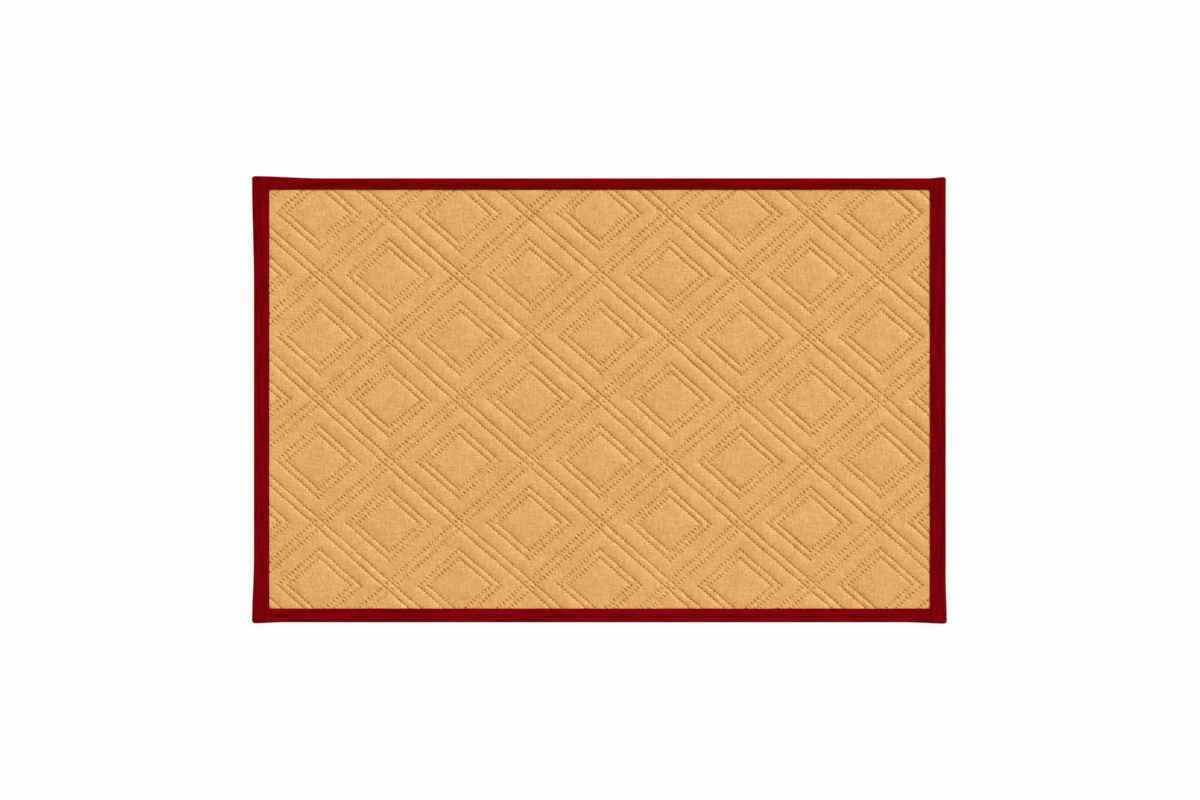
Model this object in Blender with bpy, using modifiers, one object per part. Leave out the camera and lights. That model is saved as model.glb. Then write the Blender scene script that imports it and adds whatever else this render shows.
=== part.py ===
"""A fabric placemat: a quilted gold cotton panel with its edge bound in four folded strips of dark red cotton.

Metres, +Z up.  The mat lies flat and face up on z = 0, with the middle of its outline at the origin, its long
sides along X and its far side towards +Y.
"""

from math import hypot, radians
from typing import NamedTuple

import bmesh
import bpy
import numpy as np
from mathutils import Vector

NAME = "quilted_placemat"

# Overall size, out to the corners, which stand out furthest.
WIDTH = 0.460
DEPTH = 0.2964
HALF_WIDTH = WIDTH / 2
HALF_DEPTH = DEPTH / 2

# Between any two pieces.
CLEARANCE = 0.0003

# Binding: a folded strip with one lip on top of the panel's edge and one under it.
BINDING_HEIGHT = 0.0032
BINDING_CLOTH = 0.0006
FOLD_RADIUS = 0.0014
FOLD_STEPS = 3
CORNER_RADIUS = 0.0020
CORNER_STEPS = 4

# Panel: flat underneath, pressed thin all round where the binding holds it.
PRESSED_LOW = BINDING_CLOTH + CLEARANCE
PRESSED_HIGH = BINDING_HEIGHT - BINDING_CLOTH - CLEARANCE
PRESSED_RAMP = 0.0030
UNDERSIDE_RAMP = 0.0015
PANEL_INSET = 0.0011
PANEL_CORNER_CUT = 0.0015

# Quilting: a trellis of double stitched bars, and in each of its diamonds a smaller diamond stitched double.
DIAMOND_WIDTH = 0.093
DIAMOND_DEPTH = 0.082
PITCH = DIAMOND_WIDTH * DIAMOND_DEPTH / hypot(DIAMOND_WIDTH, DIAMOND_DEPTH)
BAR_HALF = 0.0026
ROW_HEIGHT = 0.0015
BAR_HEIGHT = 0.0025

# Two faces that meet at less than this angle are one, and so are two points that lie closer than this.
LEVEL_ANGLE = radians(0.05)
SAME_POINT = 0.00004

# Each corner's flare is bent in this many steps.
FLARE_STEPS = 6


class Oblong(NamedTuple):
    """An oblong on the mat, by the places of its four sides."""

    left: float
    right: float
    near: float
    far: float

    def shrunk(self, by):
        """The oblong that lies a distance inside this one."""
        return Oblong(self.left + by, self.right - by, self.near + by, self.far - by)

    def corners(self):
        """Its corners, in order round it."""
        return [
            (self.left, self.near),
            (self.right, self.near),
            (self.right, self.far),
            (self.left, self.far),
        ]

    def sides(self):
        """A point on each side, with the direction that faces out there."""
        return (
            (Vector((self.left, 0, 0)), -RIGHTWARD),
            (Vector((self.right, 0, 0)), RIGHTWARD),
            (Vector((0, self.near, 0)), -FARWARD),
            (Vector((0, self.far, 0)), FARWARD),
        )

    def depth_inside(self, x, y):
        """How far a place lies inside its nearest side."""
        return min(x - self.left, self.right - x, y - self.near, self.far - y)


RIGHTWARD = Vector((1, 0, 0))
FARWARD = Vector((0, 1, 0))

# The quilting that shows inside the binding, and the part of it that is clear of the binding's lips.
SHOWN = Oblong(left=-0.2184, right=0.2186, near=-0.1380, far=0.1390)
FREE = SHOWN.shrunk(CLEARANCE)


class Ring(NamedTuple):
    """A line that runs round a diamond, a distance inside the trellis, and the cloth's height along it."""

    inside: float
    height: float


TRELLIS_ROW = Ring(BAR_HALF, ROW_HEIGHT)
CHANNEL = Ring(0.0076, 0.0028)
ECHO_OUTER_ROW = Ring(0.0126, ROW_HEIGHT)
ECHO_BAR = Ring(0.0148, 0.0024)
ECHO_INNER_ROW = Ring(0.0170, ROW_HEIGHT)
PUFF = Ring(0.0230, 0.0030)
RINGS = (TRELLIS_ROW, CHANNEL, ECHO_OUTER_ROW, ECHO_BAR, ECHO_INNER_ROW, PUFF)


class Side(NamedTuple):
    """How far one side of the mat is drawn in from the overall size, and how soon its corners' flares die out.

    The first corner is the one towards -X or -Y.
    """

    at_first: float
    first_reach: float
    middle: float
    last_reach: float
    at_last: float

    def inset(self, along, half):
        """How far the side is drawn in, at a place measured along it from its middle."""
        first = 1.0 - eased((along + half) / self.first_reach)
        last = 1.0 - eased((half - along) / self.last_reach)
        return (
            self.middle
            + first * (self.at_first - self.middle)
            + last * (self.at_last - self.middle)
        )

    def stations(self, half):
        """The places along the side where its flares bend, from its first corner to its last."""
        steps = [step / FLARE_STEPS for step in range(1, FLARE_STEPS + 1)]
        first = [self.first_reach * step - half for step in steps]
        last = [half - self.last_reach * step for step in reversed(steps)]
        return first + last


LEFT = Side(at_first=0.0, first_reach=0.045, middle=0.00126, last_reach=0.073, at_last=0.0)
RIGHT = Side(at_first=0.0, first_reach=0.032, middle=0.00070, last_reach=0.030, at_last=0.00063)
NEAR = Side(at_first=0.00026, first_reach=0.022, middle=0.00093, last_reach=0.028, at_last=0.0)
FAR = Side(at_first=0.0, first_reach=0.048, middle=0.00146, last_reach=0.013, at_last=0.00060)


class Finish(NamedTuple):
    """A cloth's colour, linear, and how rough it is."""

    name: str
    colour: tuple
    roughness: float


GOLD_COTTON = Finish("gold_cotton", (0.723, 0.386, 0.124, 1.0), 0.85)
RED_COTTON = Finish("red_cotton", (0.202, 0.002, 0.004, 1.0), 0.70)


def clamped(share):
    """A share kept from 0 to 1."""
    return min(max(share, 0.0), 1.0)


def eased(share):
    """From 0 to 1 with a level start and a level end."""
    share = clamped(share)
    return share * share * (3.0 - 2.0 * share)


def drawn_in(x, y):
    """Where a place on a square-cut mat lies once its sides are drawn in between the corners.

    The outer edge moves all of the way and the place where the binding's lips end not at all.
    """
    left = clamped((SHOWN.left - x) / (SHOWN.left + HALF_WIDTH))
    right = clamped((x - SHOWN.right) / (HALF_WIDTH - SHOWN.right))
    near = clamped((SHOWN.near - y) / (SHOWN.near + HALF_DEPTH))
    far = clamped((y - SHOWN.far) / (HALF_DEPTH - SHOWN.far))
    return (
        x + left * LEFT.inset(y, HALF_DEPTH) - right * RIGHT.inset(y, HALF_DEPTH),
        y + near * NEAR.inset(x, HALF_WIDTH) - far * FAR.inset(x, HALF_WIDTH),
    )


def quilted_height(x, y):
    """The height of the quilting's upper face, before its edge is pressed down."""
    falling = x / DIAMOND_WIDTH + y / DIAMOND_DEPTH
    rising = x / DIAMOND_WIDTH - y / DIAMOND_DEPTH
    near, far = sorted(PITCH * abs(turns - round(turns)) for turns in (falling, rising))
    if near >= BAR_HALF:
        return float(np.interp(near, [r.inside for r in RINGS], [r.height for r in RINGS]))
    # On a bar: a ridge that dips at the rows of the bars it crosses.
    across = 1.0 - near / BAR_HALF
    along = abs(far / BAR_HALF - 1.0)
    return ROW_HEIGHT + min(across, along) * (BAR_HEIGHT - ROW_HEIGHT)


def upper_height(x, y):
    """The height of the panel's upper face where it shows, pressed down towards the binding."""
    freed = clamped(FREE.depth_inside(x, y) / PRESSED_RAMP)
    return PRESSED_HIGH + freed * (quilted_height(x, y) - PRESSED_HIGH)


def quilting_turns():
    """The places of the mesh's lines across the trellis, in diamonds from the mat's middle, in order."""
    rings = [ring.inside / PITCH for ring in RINGS]
    one_diamond = [-share for share in reversed(rings)] + [0.0] + rings
    most = int(HALF_WIDTH / DIAMOND_WIDTH + HALF_DEPTH / DIAMOND_DEPTH) + 1
    return [line + share for line in range(-most, most + 1) for share in one_diamond]


def everything(bm):
    """All of a mesh's geometry, as the cutting tools take it."""
    return bm.verts[:] + bm.edges[:] + bm.faces[:]


def add_quilted_face(bm):
    """The upper face that shows: a skewed grid along the trellis, trimmed to the oblong and raised."""
    turns = quilting_turns()
    last = len(turns) - 1
    bmesh.ops.create_grid(bm, x_segments=last, y_segments=last, size=1.0)
    for vert in bm.verts:
        falling = turns[round((vert.co.x + 1.0) / 2.0 * last)]
        rising = turns[round((vert.co.y + 1.0) / 2.0 * last)]
        vert.co.x = DIAMOND_WIDTH * (falling + rising) / 2.0
        vert.co.y = DIAMOND_DEPTH * (falling - rising) / 2.0
    for place, outward in FREE.sides():
        bmesh.ops.bisect_plane(bm, geom=everything(bm), plane_co=place, plane_no=outward, clear_outer=True)
    for place, outward in FREE.shrunk(PRESSED_RAMP).sides():
        bmesh.ops.bisect_plane(bm, geom=everything(bm), plane_co=place, plane_no=outward)
    bmesh.ops.remove_doubles(bm, verts=bm.verts, dist=SAME_POINT)
    for vert in bm.verts:
        vert.co.z = upper_height(vert.co.x, vert.co.y)
    bmesh.ops.triangulate(bm, faces=[face for face in bm.faces if len(face.verts) > 4])
    for face in [face for face in bm.faces if len(face.verts) == 4]:
        split_to_fit(face)
    bmesh.ops.dissolve_limit(bm, angle_limit=LEVEL_ANGLE, verts=bm.verts, edges=bm.edges)


def split_to_fit(face):
    """Splits a four-sided face along the diagonal whose middle lies nearest to the quilting's height there."""
    corners = face.verts[:]

    def misfit(pair):
        middle = (pair[0].co + pair[1].co) / 2.0
        return abs(middle.z - upper_height(middle.x, middle.y))

    start, end = min(((corners[0], corners[2]), (corners[1], corners[3])), key=misfit)
    bmesh.utils.face_split(face, start, end)


def panel_outline():
    """The panel's cut outline, corners trimmed, sides drawn in with the binding's, in order round the mat."""
    x = HALF_WIDTH - PANEL_INSET
    y = HALF_DEPTH - PANEL_INSET
    cut = PANEL_CORNER_CUT
    near = [(along, -y) for along in (cut - x, *NEAR.stations(HALF_WIDTH), x - cut)]
    right = [(x, along) for along in (cut - y, *RIGHT.stations(HALF_DEPTH), y - cut)]
    far = [(along, y) for along in (cut - x, *FAR.stations(HALF_WIDTH), x - cut)]
    left = [(-x, along) for along in (cut - y, *LEFT.stations(HALF_DEPTH), y - cut)]
    return [drawn_in(*place) for place in near + right + far[::-1] + left[::-1]]


def add_loop(bm, places, height):
    """A closed loop of edges through the places, at a height."""
    verts = [bm.verts.new((x, y, height)) for x, y in places]
    return [bm.edges.new(pair) for pair in zip(verts, verts[1:] + verts[:1])]


def make_panel():
    """The quilted panel: one closed body, raised on top, flat underneath and pressed thin at its edge."""
    bm = bmesh.new()
    add_quilted_face(bm)
    shown_edge = [edge for edge in bm.edges if edge.is_boundary]
    upper_rim = add_loop(bm, panel_outline(), PRESSED_HIGH)
    lower_rim = add_loop(bm, panel_outline(), PRESSED_LOW)
    ledge = add_loop(bm, FREE.corners(), PRESSED_LOW)
    underside = add_loop(bm, FREE.shrunk(UNDERSIDE_RAMP).corners(), 0.0)
    bmesh.ops.triangle_fill(bm, edges=shown_edge + upper_rim, use_beauty=True)
    bmesh.ops.bridge_loops(bm, edges=upper_rim + lower_rim)
    bmesh.ops.triangle_fill(bm, edges=lower_rim + ledge, use_beauty=True)
    bmesh.ops.bridge_loops(bm, edges=ledge + underside)
    bmesh.ops.contextual_create(bm, geom=underside)
    bmesh.ops.recalc_face_normals(bm, faces=bm.faces)
    return finished_object(bm, "quilted_panel", GOLD_COTTON)


def make_strip(name, low, high, open_towards, cuts):
    """A strip of binding: a box left open where the panel goes in, its folds rounded, then given its cloth."""
    bm = bmesh.new()
    bmesh.ops.create_cube(bm, size=1.0)
    bmesh.ops.scale(bm, vec=high - low, verts=bm.verts)
    bmesh.ops.translate(bm, vec=(low + high) / 2.0, verts=bm.verts)
    opened = [face for face in bm.faces if any(face.normal.dot(way) > 0.9 for way in open_towards)]
    bmesh.ops.delete(bm, geom=opened, context="FACES")

    joined = [edge for edge in bm.edges if edge.is_manifold]
    corners = [edge for edge in joined if not any(is_level(face) for face in edge.link_faces)]
    round_off(bm, corners, CORNER_RADIUS, CORNER_STEPS)
    joined = [edge for edge in bm.edges if edge.is_manifold]
    folds = [edge for edge in joined if sum(is_level(face) for face in edge.link_faces) == 1]
    round_off(bm, folds, FOLD_RADIUS, FOLD_STEPS)

    for cut in cuts:
        bmesh.ops.bisect_plane(bm, geom=everything(bm), plane_co=cut, plane_no=cut)
    for vert in bm.verts:
        vert.co.x, vert.co.y = drawn_in(vert.co.x, vert.co.y)
    strip = finished_object(bm, name, RED_COTTON)
    cloth = strip.modifiers.new("cloth", "SOLIDIFY")
    cloth.thickness = BINDING_CLOTH
    cloth.offset = -1.0
    cloth.use_even_offset = True
    return strip


def is_level(face):
    """Whether a face of a box lies level."""
    return abs(face.normal.z) > 0.9


def round_off(bm, edges, radius, steps):
    """Rounds edges of a mesh."""
    bmesh.ops.bevel(bm, geom=edges, offset=radius, segments=steps, profile=0.5, affect="EDGES")


def make_binding():
    """The four strips: the side ones run the mat's full depth, and the others fit between them."""
    top = BINDING_HEIGHT
    between = (SHOWN.left + CLEARANCE, SHOWN.right - CLEARANCE)
    return [
        make_strip(
            "binding_left",
            Vector((-HALF_WIDTH, -HALF_DEPTH, 0)),
            Vector((SHOWN.left, HALF_DEPTH, top)),
            [RIGHTWARD],
            [FARWARD * along for along in LEFT.stations(HALF_DEPTH)],
        ),
        make_strip(
            "binding_right",
            Vector((SHOWN.right, -HALF_DEPTH, 0)),
            Vector((HALF_WIDTH, HALF_DEPTH, top)),
            [-RIGHTWARD],
            [FARWARD * along for along in RIGHT.stations(HALF_DEPTH)],
        ),
        make_strip(
            "binding_bottom",
            Vector((between[0], -HALF_DEPTH, 0)),
            Vector((between[1], SHOWN.near, top)),
            [FARWARD, RIGHTWARD, -RIGHTWARD],
            [RIGHTWARD * along for along in NEAR.stations(HALF_WIDTH)],
        ),
        make_strip(
            "binding_top",
            Vector((between[0], SHOWN.far, 0)),
            Vector((between[1], HALF_DEPTH, top)),
            [-FARWARD, RIGHTWARD, -RIGHTWARD],
            [RIGHTWARD * along for along in FAR.stations(HALF_WIDTH)],
        ),
    ]


def cloth_material(finish):
    """A plain cloth of the finish's colour, shared by all the pieces cut from it."""
    material = bpy.data.materials.get(finish.name) or bpy.data.materials.new(finish.name)
    material.use_nodes = True
    shader = material.node_tree.nodes["Principled BSDF"]
    shader.inputs["Base Color"].default_value = finish.colour
    shader.inputs["Roughness"].default_value = finish.roughness
    shader.inputs["Metallic"].default_value = 0.0
    return material


def finished_object(bm, name, finish):
    """Turns a mesh under construction into a named object with its own material."""
    mesh = bpy.data.meshes.new(name)
    bm.to_mesh(mesh)
    bm.free()
    mesh.materials.append(cloth_material(finish))
    return bpy.data.objects.new(name, mesh)


def main():
    """Clears the scene and makes the placemat in a collection of its own."""
    for old in list(bpy.data.objects):
        bpy.data.objects.remove(old)
    collection = bpy.data.collections.new(NAME)
    bpy.context.scene.collection.children.link(collection)
    for piece in (make_panel(), *make_binding()):
        collection.objects.link(piece)


main()
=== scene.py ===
"""The looks of the quilted fabric placemat: its cloth, its stitches, its binding and the studio it lies in.

Metres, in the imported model's frame: the mat lies face up on z = 0, its long sides along X, its far side
towards +Y. The mat is quilted along a trellis of double-stitched bars, and each diamond of the trellis holds
a smaller diamond, stitched double as well.
"""

import logging
from collections.abc import Iterable, Iterator, Sequence
from dataclasses import dataclass, field, replace
from enum import Enum
from functools import reduce
from math import cos, hypot, pi, radians, sin
from operator import add
from typing import Any

import bmesh
import bpy
import numpy as np
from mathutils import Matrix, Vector


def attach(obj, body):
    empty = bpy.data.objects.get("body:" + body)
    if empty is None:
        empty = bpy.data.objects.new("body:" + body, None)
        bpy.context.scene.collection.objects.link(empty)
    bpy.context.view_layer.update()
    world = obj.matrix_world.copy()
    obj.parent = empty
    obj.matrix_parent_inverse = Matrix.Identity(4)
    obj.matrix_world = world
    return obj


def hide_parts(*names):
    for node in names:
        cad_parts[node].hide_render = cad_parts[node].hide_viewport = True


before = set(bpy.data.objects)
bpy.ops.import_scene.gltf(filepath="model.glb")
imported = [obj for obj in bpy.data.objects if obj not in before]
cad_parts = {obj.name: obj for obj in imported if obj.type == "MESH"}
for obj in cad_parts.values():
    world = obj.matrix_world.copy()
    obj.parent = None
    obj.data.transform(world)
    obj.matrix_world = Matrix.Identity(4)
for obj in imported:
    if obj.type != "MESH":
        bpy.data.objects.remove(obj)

LOG = logging.getLogger("placemat")

BODY = "root"
MILLIMETRE = 0.001
SHARP_ANGLE = radians(60)
WHITE = (1.0, 1.0, 1.0, 1.0)
MIDDLE_TONE = 0.5

# Where along a stitch its thread bends, from one end to the other, on the mat's upper and lower face.
UPPER_RINGS = (-1.0, -0.65, 0.0, 0.65, 1.0)
LOWER_RINGS = (-1.0, 0.0, 1.0)

Colour = tuple[float, float, float, float]
Places = tuple[np.ndarray, np.ndarray]


def clamped(share: np.ndarray) -> np.ndarray:
    """Shares kept from 0 to 1."""
    return np.clip(share, 0.0, 1.0)


def eased(share: np.ndarray) -> np.ndarray:
    """Shares from 0 to 1, made level at both ends."""
    share = clamped(share)
    return share * share * (3.0 - 2.0 * share)


# ---------------------------------------------------------------------------------------------------------
# Shader helpers
# ---------------------------------------------------------------------------------------------------------


class Value:
    """A number that varies over a surface: a socket that takes Python's arithmetic."""

    def __init__(self, socket: bpy.types.NodeSocket) -> None:
        """Wraps an output socket."""
        self.socket = socket

    def math(
        self, operation: str, *others: "Value | float", first: "Value | float | None" = None
    ) -> "Value":
        """Adds a Math node to this value's tree.

        Args:
            operation: The node's operation.
            others: What follows the first operand.
            first: The first operand, where it isn't this value.

        Returns:
            The node's result.
        """
        node = self.socket.id_data.nodes.new("ShaderNodeMath")
        node.operation = operation
        for socket, operand in zip(node.inputs, (self if first is None else first, *others)):
            plug(socket, operand)
        return Value(node.outputs[0])

    def __add__(self, other: "Value | float") -> "Value":
        """The sum."""
        return self.math("ADD", other)

    __radd__ = __add__

    def __sub__(self, other: "Value | float") -> "Value":
        """The difference."""
        return self.math("SUBTRACT", other)

    def __rsub__(self, other: float) -> "Value":
        """The difference, from a plain number."""
        return self.math("SUBTRACT", self, first=other)

    def __mul__(self, other: "Value | float") -> "Value":
        """The product."""
        return self.math("MULTIPLY", other)

    __rmul__ = __mul__

    def __truediv__(self, other: "Value | float") -> "Value":
        """The quotient."""
        return self.math("DIVIDE", other)

    def __rtruediv__(self, other: float) -> "Value":
        """The quotient, of a plain number by this one."""
        return self.math("DIVIDE", self, first=other)

    def __pow__(self, power: "Value | float") -> "Value":
        """The power."""
        return self.math("POWER", power)

    def __abs__(self) -> "Value":
        """The size without the sign."""
        return self.math("ABSOLUTE")

    def rounded(self) -> "Value":
        """The nearest whole number."""
        return self.math("ROUND")

    def least(self, other: "Value | float") -> "Value":
        """The smaller of two."""
        return self.math("MINIMUM", other)

    def most(self, other: "Value | float") -> "Value":
        """The larger of two."""
        return self.math("MAXIMUM", other)

    def above(self, other: "Value | float") -> "Value":
        """1 where this is the larger, otherwise 0."""
        return self.math("GREATER_THAN", other)

    def sine(self) -> "Value":
        """The sine of an angle in radians."""
        return self.math("SINE")

    def cosine(self) -> "Value":
        """The cosine of an angle in radians."""
        return self.math("COSINE")

    def fading(self, reach: float) -> "Value":
        """1 at a distance of 0, falling straight to 0 at the reach and staying there."""
        return (1.0 - self / reach).most(0.0)


def plug(socket: bpy.types.NodeSocket, content: "Value | float | Sequence[float]") -> None:
    """Links an input to a value, or sets it to a plain one.

    Args:
        socket: The input.
        content: The value that it takes.
    """
    if isinstance(content, Value):
        socket.id_data.links.new(content.socket, socket)
    else:
        socket.default_value = content


@dataclass(frozen=True, kw_only=True)
class Mark:
    """What a mark does to a cloth where it is strongest.

    Attributes:
        tone: How far it moves the cloth's colour, as a share of the way from its deepest to its palest.
        relief: How far it raises the surface, in millimetres.
    """

    tone: float = 0.0
    relief: float = 0.0


@dataclass(frozen=True, kw_only=True)
class Mottle(Mark):
    """Soft unevenness all over a cloth.

    Attributes:
        size: How large its patches are along X, Y and Z, in metres.
        detail: How many finer layers it has in itself.
    """

    size: tuple[float, float, float]
    detail: float

    def turned(self) -> "Mottle":
        """The same unevenness with X and Y changed over."""
        across, along, deep = self.size
        return replace(self, size=(along, across, deep))


def even(size: float) -> tuple[float, float, float]:
    """The size of patches that are as large in every direction."""
    return size, size, size


class MixSocket:
    """The places of a Mix node's sockets that carry colours."""

    FACTOR = 0
    FIRST = 6
    SECOND = 7
    RESULT = 2


class Dye:
    """A material under construction."""

    def __init__(self, name: str) -> None:
        """Starts a material with a plain Principled shader.

        Args:
            name: The material's name.
        """
        self.material = bpy.data.materials.new(name)
        self.material.use_nodes = True
        self.tree = self.material.node_tree
        self.shader = self.tree.nodes["Principled BSDF"]

    def node(self, kind: str, settings: dict[str, Any], inputs: dict[int | str, Any]) -> bpy.types.Node:
        """Adds a node.

        Args:
            kind: Its type.
            settings: Its own settings, which are set first.
            inputs: What its sockets take, by name or place.

        Returns:
            The node.
        """
        node = self.tree.nodes.new(kind)
        for name, setting in settings.items():
            setattr(node, name, setting)
        for key, content in inputs.items():
            plug(node.inputs[key], content)
        return node

    def place(self) -> Value:
        """Where a point lies on the object, in metres."""
        return Value(self.node("ShaderNodeTexCoord", {}, {}).outputs["Object"])

    def parts(self, vector: Value) -> tuple[Value, Value, Value]:
        """A vector's three numbers."""
        outputs = self.node("ShaderNodeSeparateXYZ", {}, {0: vector}).outputs
        return Value(outputs[0]), Value(outputs[1]), Value(outputs[2])

    def stretched(self, vector: Value, scale: Sequence[float]) -> Value:
        """A vector with each of its numbers scaled."""
        node = self.node("ShaderNodeVectorMath", {"operation": "MULTIPLY"}, {0: vector, 1: scale})
        return Value(node.outputs[0])

    def mottled(self, vector: Value, mottle: Mottle) -> Value:
        """Soft noise, about -1 to 1.

        Args:
            vector: The places.
            mottle: How large its patches are, and how finely they are broken up.

        Returns:
            The noise.
        """
        scaled = self.stretched(vector, [1.0 / size for size in mottle.size])
        inputs = {"Vector": scaled, "Scale": 1.0, "Detail": mottle.detail}
        return Value(self.node("ShaderNodeTexNoise", {}, inputs).outputs[0]) * 2.0 - 1.0

    def woven(self, x: Value, y: Value, yarn: float) -> Value:
        """The ups and downs of a plain weave, from -1 to 1.

        Args:
            x: The places along X.
            y: The places along Y.
            yarn: From one yarn to the next but one.

        Returns:
            How far a yarn lies over the others.
        """
        turn = 2 * pi / yarn
        return (x * turn).sine() * (y * turn).sine()

    def marked(self, marks: Sequence[tuple[Mark, Value]]) -> tuple[Value, Value]:
        """What marks do to a cloth together.

        Args:
            marks: Each mark, with how strong it is over the surface.

        Returns:
            The tone, from 0 at the deepest colour to 1 at the palest, and the relief in millimetres.
        """
        tone = reduce(add, [strength * mark.tone for mark, strength in marks if mark.tone])
        relief = reduce(add, [strength * mark.relief for mark, strength in marks if mark.relief])
        return (MIDDLE_TONE + tone).most(0.0).least(1.0), relief

    def shaded(self, colour: "Value | Colour", brightness: Value) -> Value:
        """A colour made lighter or darker.

        Args:
            colour: The colour.
            brightness: What it is multiplied by.

        Returns:
            The colour, as a vector.
        """
        start = colour if isinstance(colour, Value) else colour[:3]
        node = self.node("ShaderNodeVectorMath", {"operation": "SCALE"}, {0: start, "Scale": brightness})
        return Value(node.outputs[0])

    def blended(self, factor: Value, first: "Value | Colour", second: "Value | Colour") -> Value:
        """Two colours mixed.

        Args:
            factor: The second one's share.
            first: The colour where the share is 0.
            second: The colour where the share is 1.

        Returns:
            The mixed colour.
        """
        inputs = {MixSocket.FACTOR: factor, MixSocket.FIRST: first, MixSocket.SECOND: second}
        node = self.node("ShaderNodeMix", {"data_type": "RGBA"}, inputs)
        return Value(node.outputs[MixSocket.RESULT])

    def raise_by(self, millimetres: Value) -> None:
        """Gives the surface a fine relief.

        Args:
            millimetres: How far each place is raised.
        """
        inputs = {"Strength": 1.0, "Distance": MILLIMETRE, "Height": millimetres}
        bump = self.node("ShaderNodeBump", {}, inputs)
        plug(self.shader.inputs["Normal"], Value(bump.outputs[0]))

    def finish(self, inputs: dict[str, Any]) -> bpy.types.Material:
        """Sets the shader's sockets and gives the material.

        Args:
            inputs: What the Principled shader's sockets take, by name.

        Returns:
            The finished material.
        """
        for name, content in inputs.items():
            plug(self.shader.inputs[name], content)
        return self.material


def sine(angle: Any) -> Any:
    """The sine of an angle, which is an array or a shader value."""
    return angle.sine() if isinstance(angle, Value) else np.sin(angle)


# ---------------------------------------------------------------------------------------------------------
# The mat's plan
# ---------------------------------------------------------------------------------------------------------


@dataclass(frozen=True)
class Oblong:
    """An oblong on the mat, by the places of its four sides."""

    left: float
    right: float
    near: float
    far: float

    def shrunk(self, by: float) -> "Oblong":
        """The oblong that lies a distance inside this one."""
        return Oblong(self.left + by, self.right - by, self.near + by, self.far - by)

    def depth_inside(self, x: np.ndarray, y: np.ndarray) -> np.ndarray:
        """How far places lie inside their nearest side."""
        across = np.minimum(x - self.left, self.right - x)
        return np.minimum(across, np.minimum(y - self.near, self.far - y))

    def sides(self) -> list[tuple[Vector, Vector]]:
        """A point on each side, with the direction that faces out there."""
        return [
            (Vector((self.left, 0, 0)), Vector((-1, 0, 0))),
            (Vector((self.right, 0, 0)), Vector((1, 0, 0))),
            (Vector((0, self.near, 0)), Vector((0, -1, 0))),
            (Vector((0, self.far, 0)), Vector((0, 1, 0))),
        ]


@dataclass(frozen=True)
class Side:
    """How one side of the mat is drawn in from the overall size, between two slightly flared corners.

    Attributes:
        at_first: How far at the corner towards -X or -Y.
        first_reach: How far from that corner its flare dies out.
        middle: How far between the flares.
        last_reach: How far from the other corner its flare dies out.
        at_last: How far at that corner.
    """

    at_first: float
    first_reach: float
    middle: float
    last_reach: float
    at_last: float

    def inset(self, along: np.ndarray, half: float) -> np.ndarray:
        """How far the side is drawn in at places along it.

        Args:
            along: The places, measured from its middle.
            half: Half of its length.

        Returns:
            The distances.
        """
        first = 1.0 - eased((along + half) / self.first_reach)
        last = 1.0 - eased((half - along) / self.last_reach)
        flares = first * (self.at_first - self.middle), last * (self.at_last - self.middle)
        return self.middle + flares[0] + flares[1]


@dataclass(frozen=True)
class Plan:
    """The mat's outline, drawn in between its corners, and the oblong of quilting that shows.

    Attributes:
        width: How wide the mat is over its corners.
        depth: How deep it is over its corners.
        shown: The oblong that the binding leaves free.
        left: How its left side is drawn in, and the same for the other three.
        corner_radius: How far its corners are rounded, seen from above.
    """

    width: float = 0.460
    depth: float = 0.2964
    shown: Oblong = Oblong(left=-0.2184, right=0.2186, near=-0.1380, far=0.1390)
    left: Side = Side(0.0, 0.045, 0.00126, 0.073, 0.0)
    right: Side = Side(0.0, 0.032, 0.00070, 0.030, 0.00063)
    near: Side = Side(0.00026, 0.022, 0.00093, 0.028, 0.0)
    far: Side = Side(0.0, 0.048, 0.00146, 0.013, 0.00060)
    corner_radius: float = 0.0020

    @property
    def half_width(self) -> float:
        """From the middle to the left or right side."""
        return self.width / 2

    @property
    def half_depth(self) -> float:
        """From the middle to the near or far side."""
        return self.depth / 2

    def drawn_in(self, x: np.ndarray, y: np.ndarray) -> Places:
        """Where places on a square-cut mat lie once its sides are drawn in between the corners.

        Args:
            x: Their places along X.
            y: Their places along Y.

        Returns:
            Their new places. The outer edge moves all of the way, and the shown oblong not at all.
        """
        left = clamped((self.shown.left - x) / (self.shown.left + self.half_width))
        right = clamped((x - self.shown.right) / (self.half_width - self.shown.right))
        near = clamped((self.shown.near - y) / (self.shown.near + self.half_depth))
        far = clamped((y - self.shown.far) / (self.half_depth - self.shown.far))
        across = left * self.left.inset(y, self.half_depth) - right * self.right.inset(y, self.half_depth)
        along = near * self.near.inset(x, self.half_width) - far * self.far.inset(x, self.half_width)
        return x + across, y + along

    def depth_inside(self, x: np.ndarray, y: np.ndarray) -> np.ndarray:
        """How far places lie inside the square-cut mat's outline, whose corners are rounded.

        Args:
            x: Their places along X.
            y: Their places along Y.

        Returns:
            The distances.
        """
        across = self.half_width - np.abs(x)
        along = self.half_depth - np.abs(y)
        radius = self.corner_radius
        rounded = radius - np.hypot(radius - across, radius - along)
        in_corner = (across < radius) & (along < radius)
        return np.where(in_corner, rounded, np.minimum(across, along))


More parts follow.
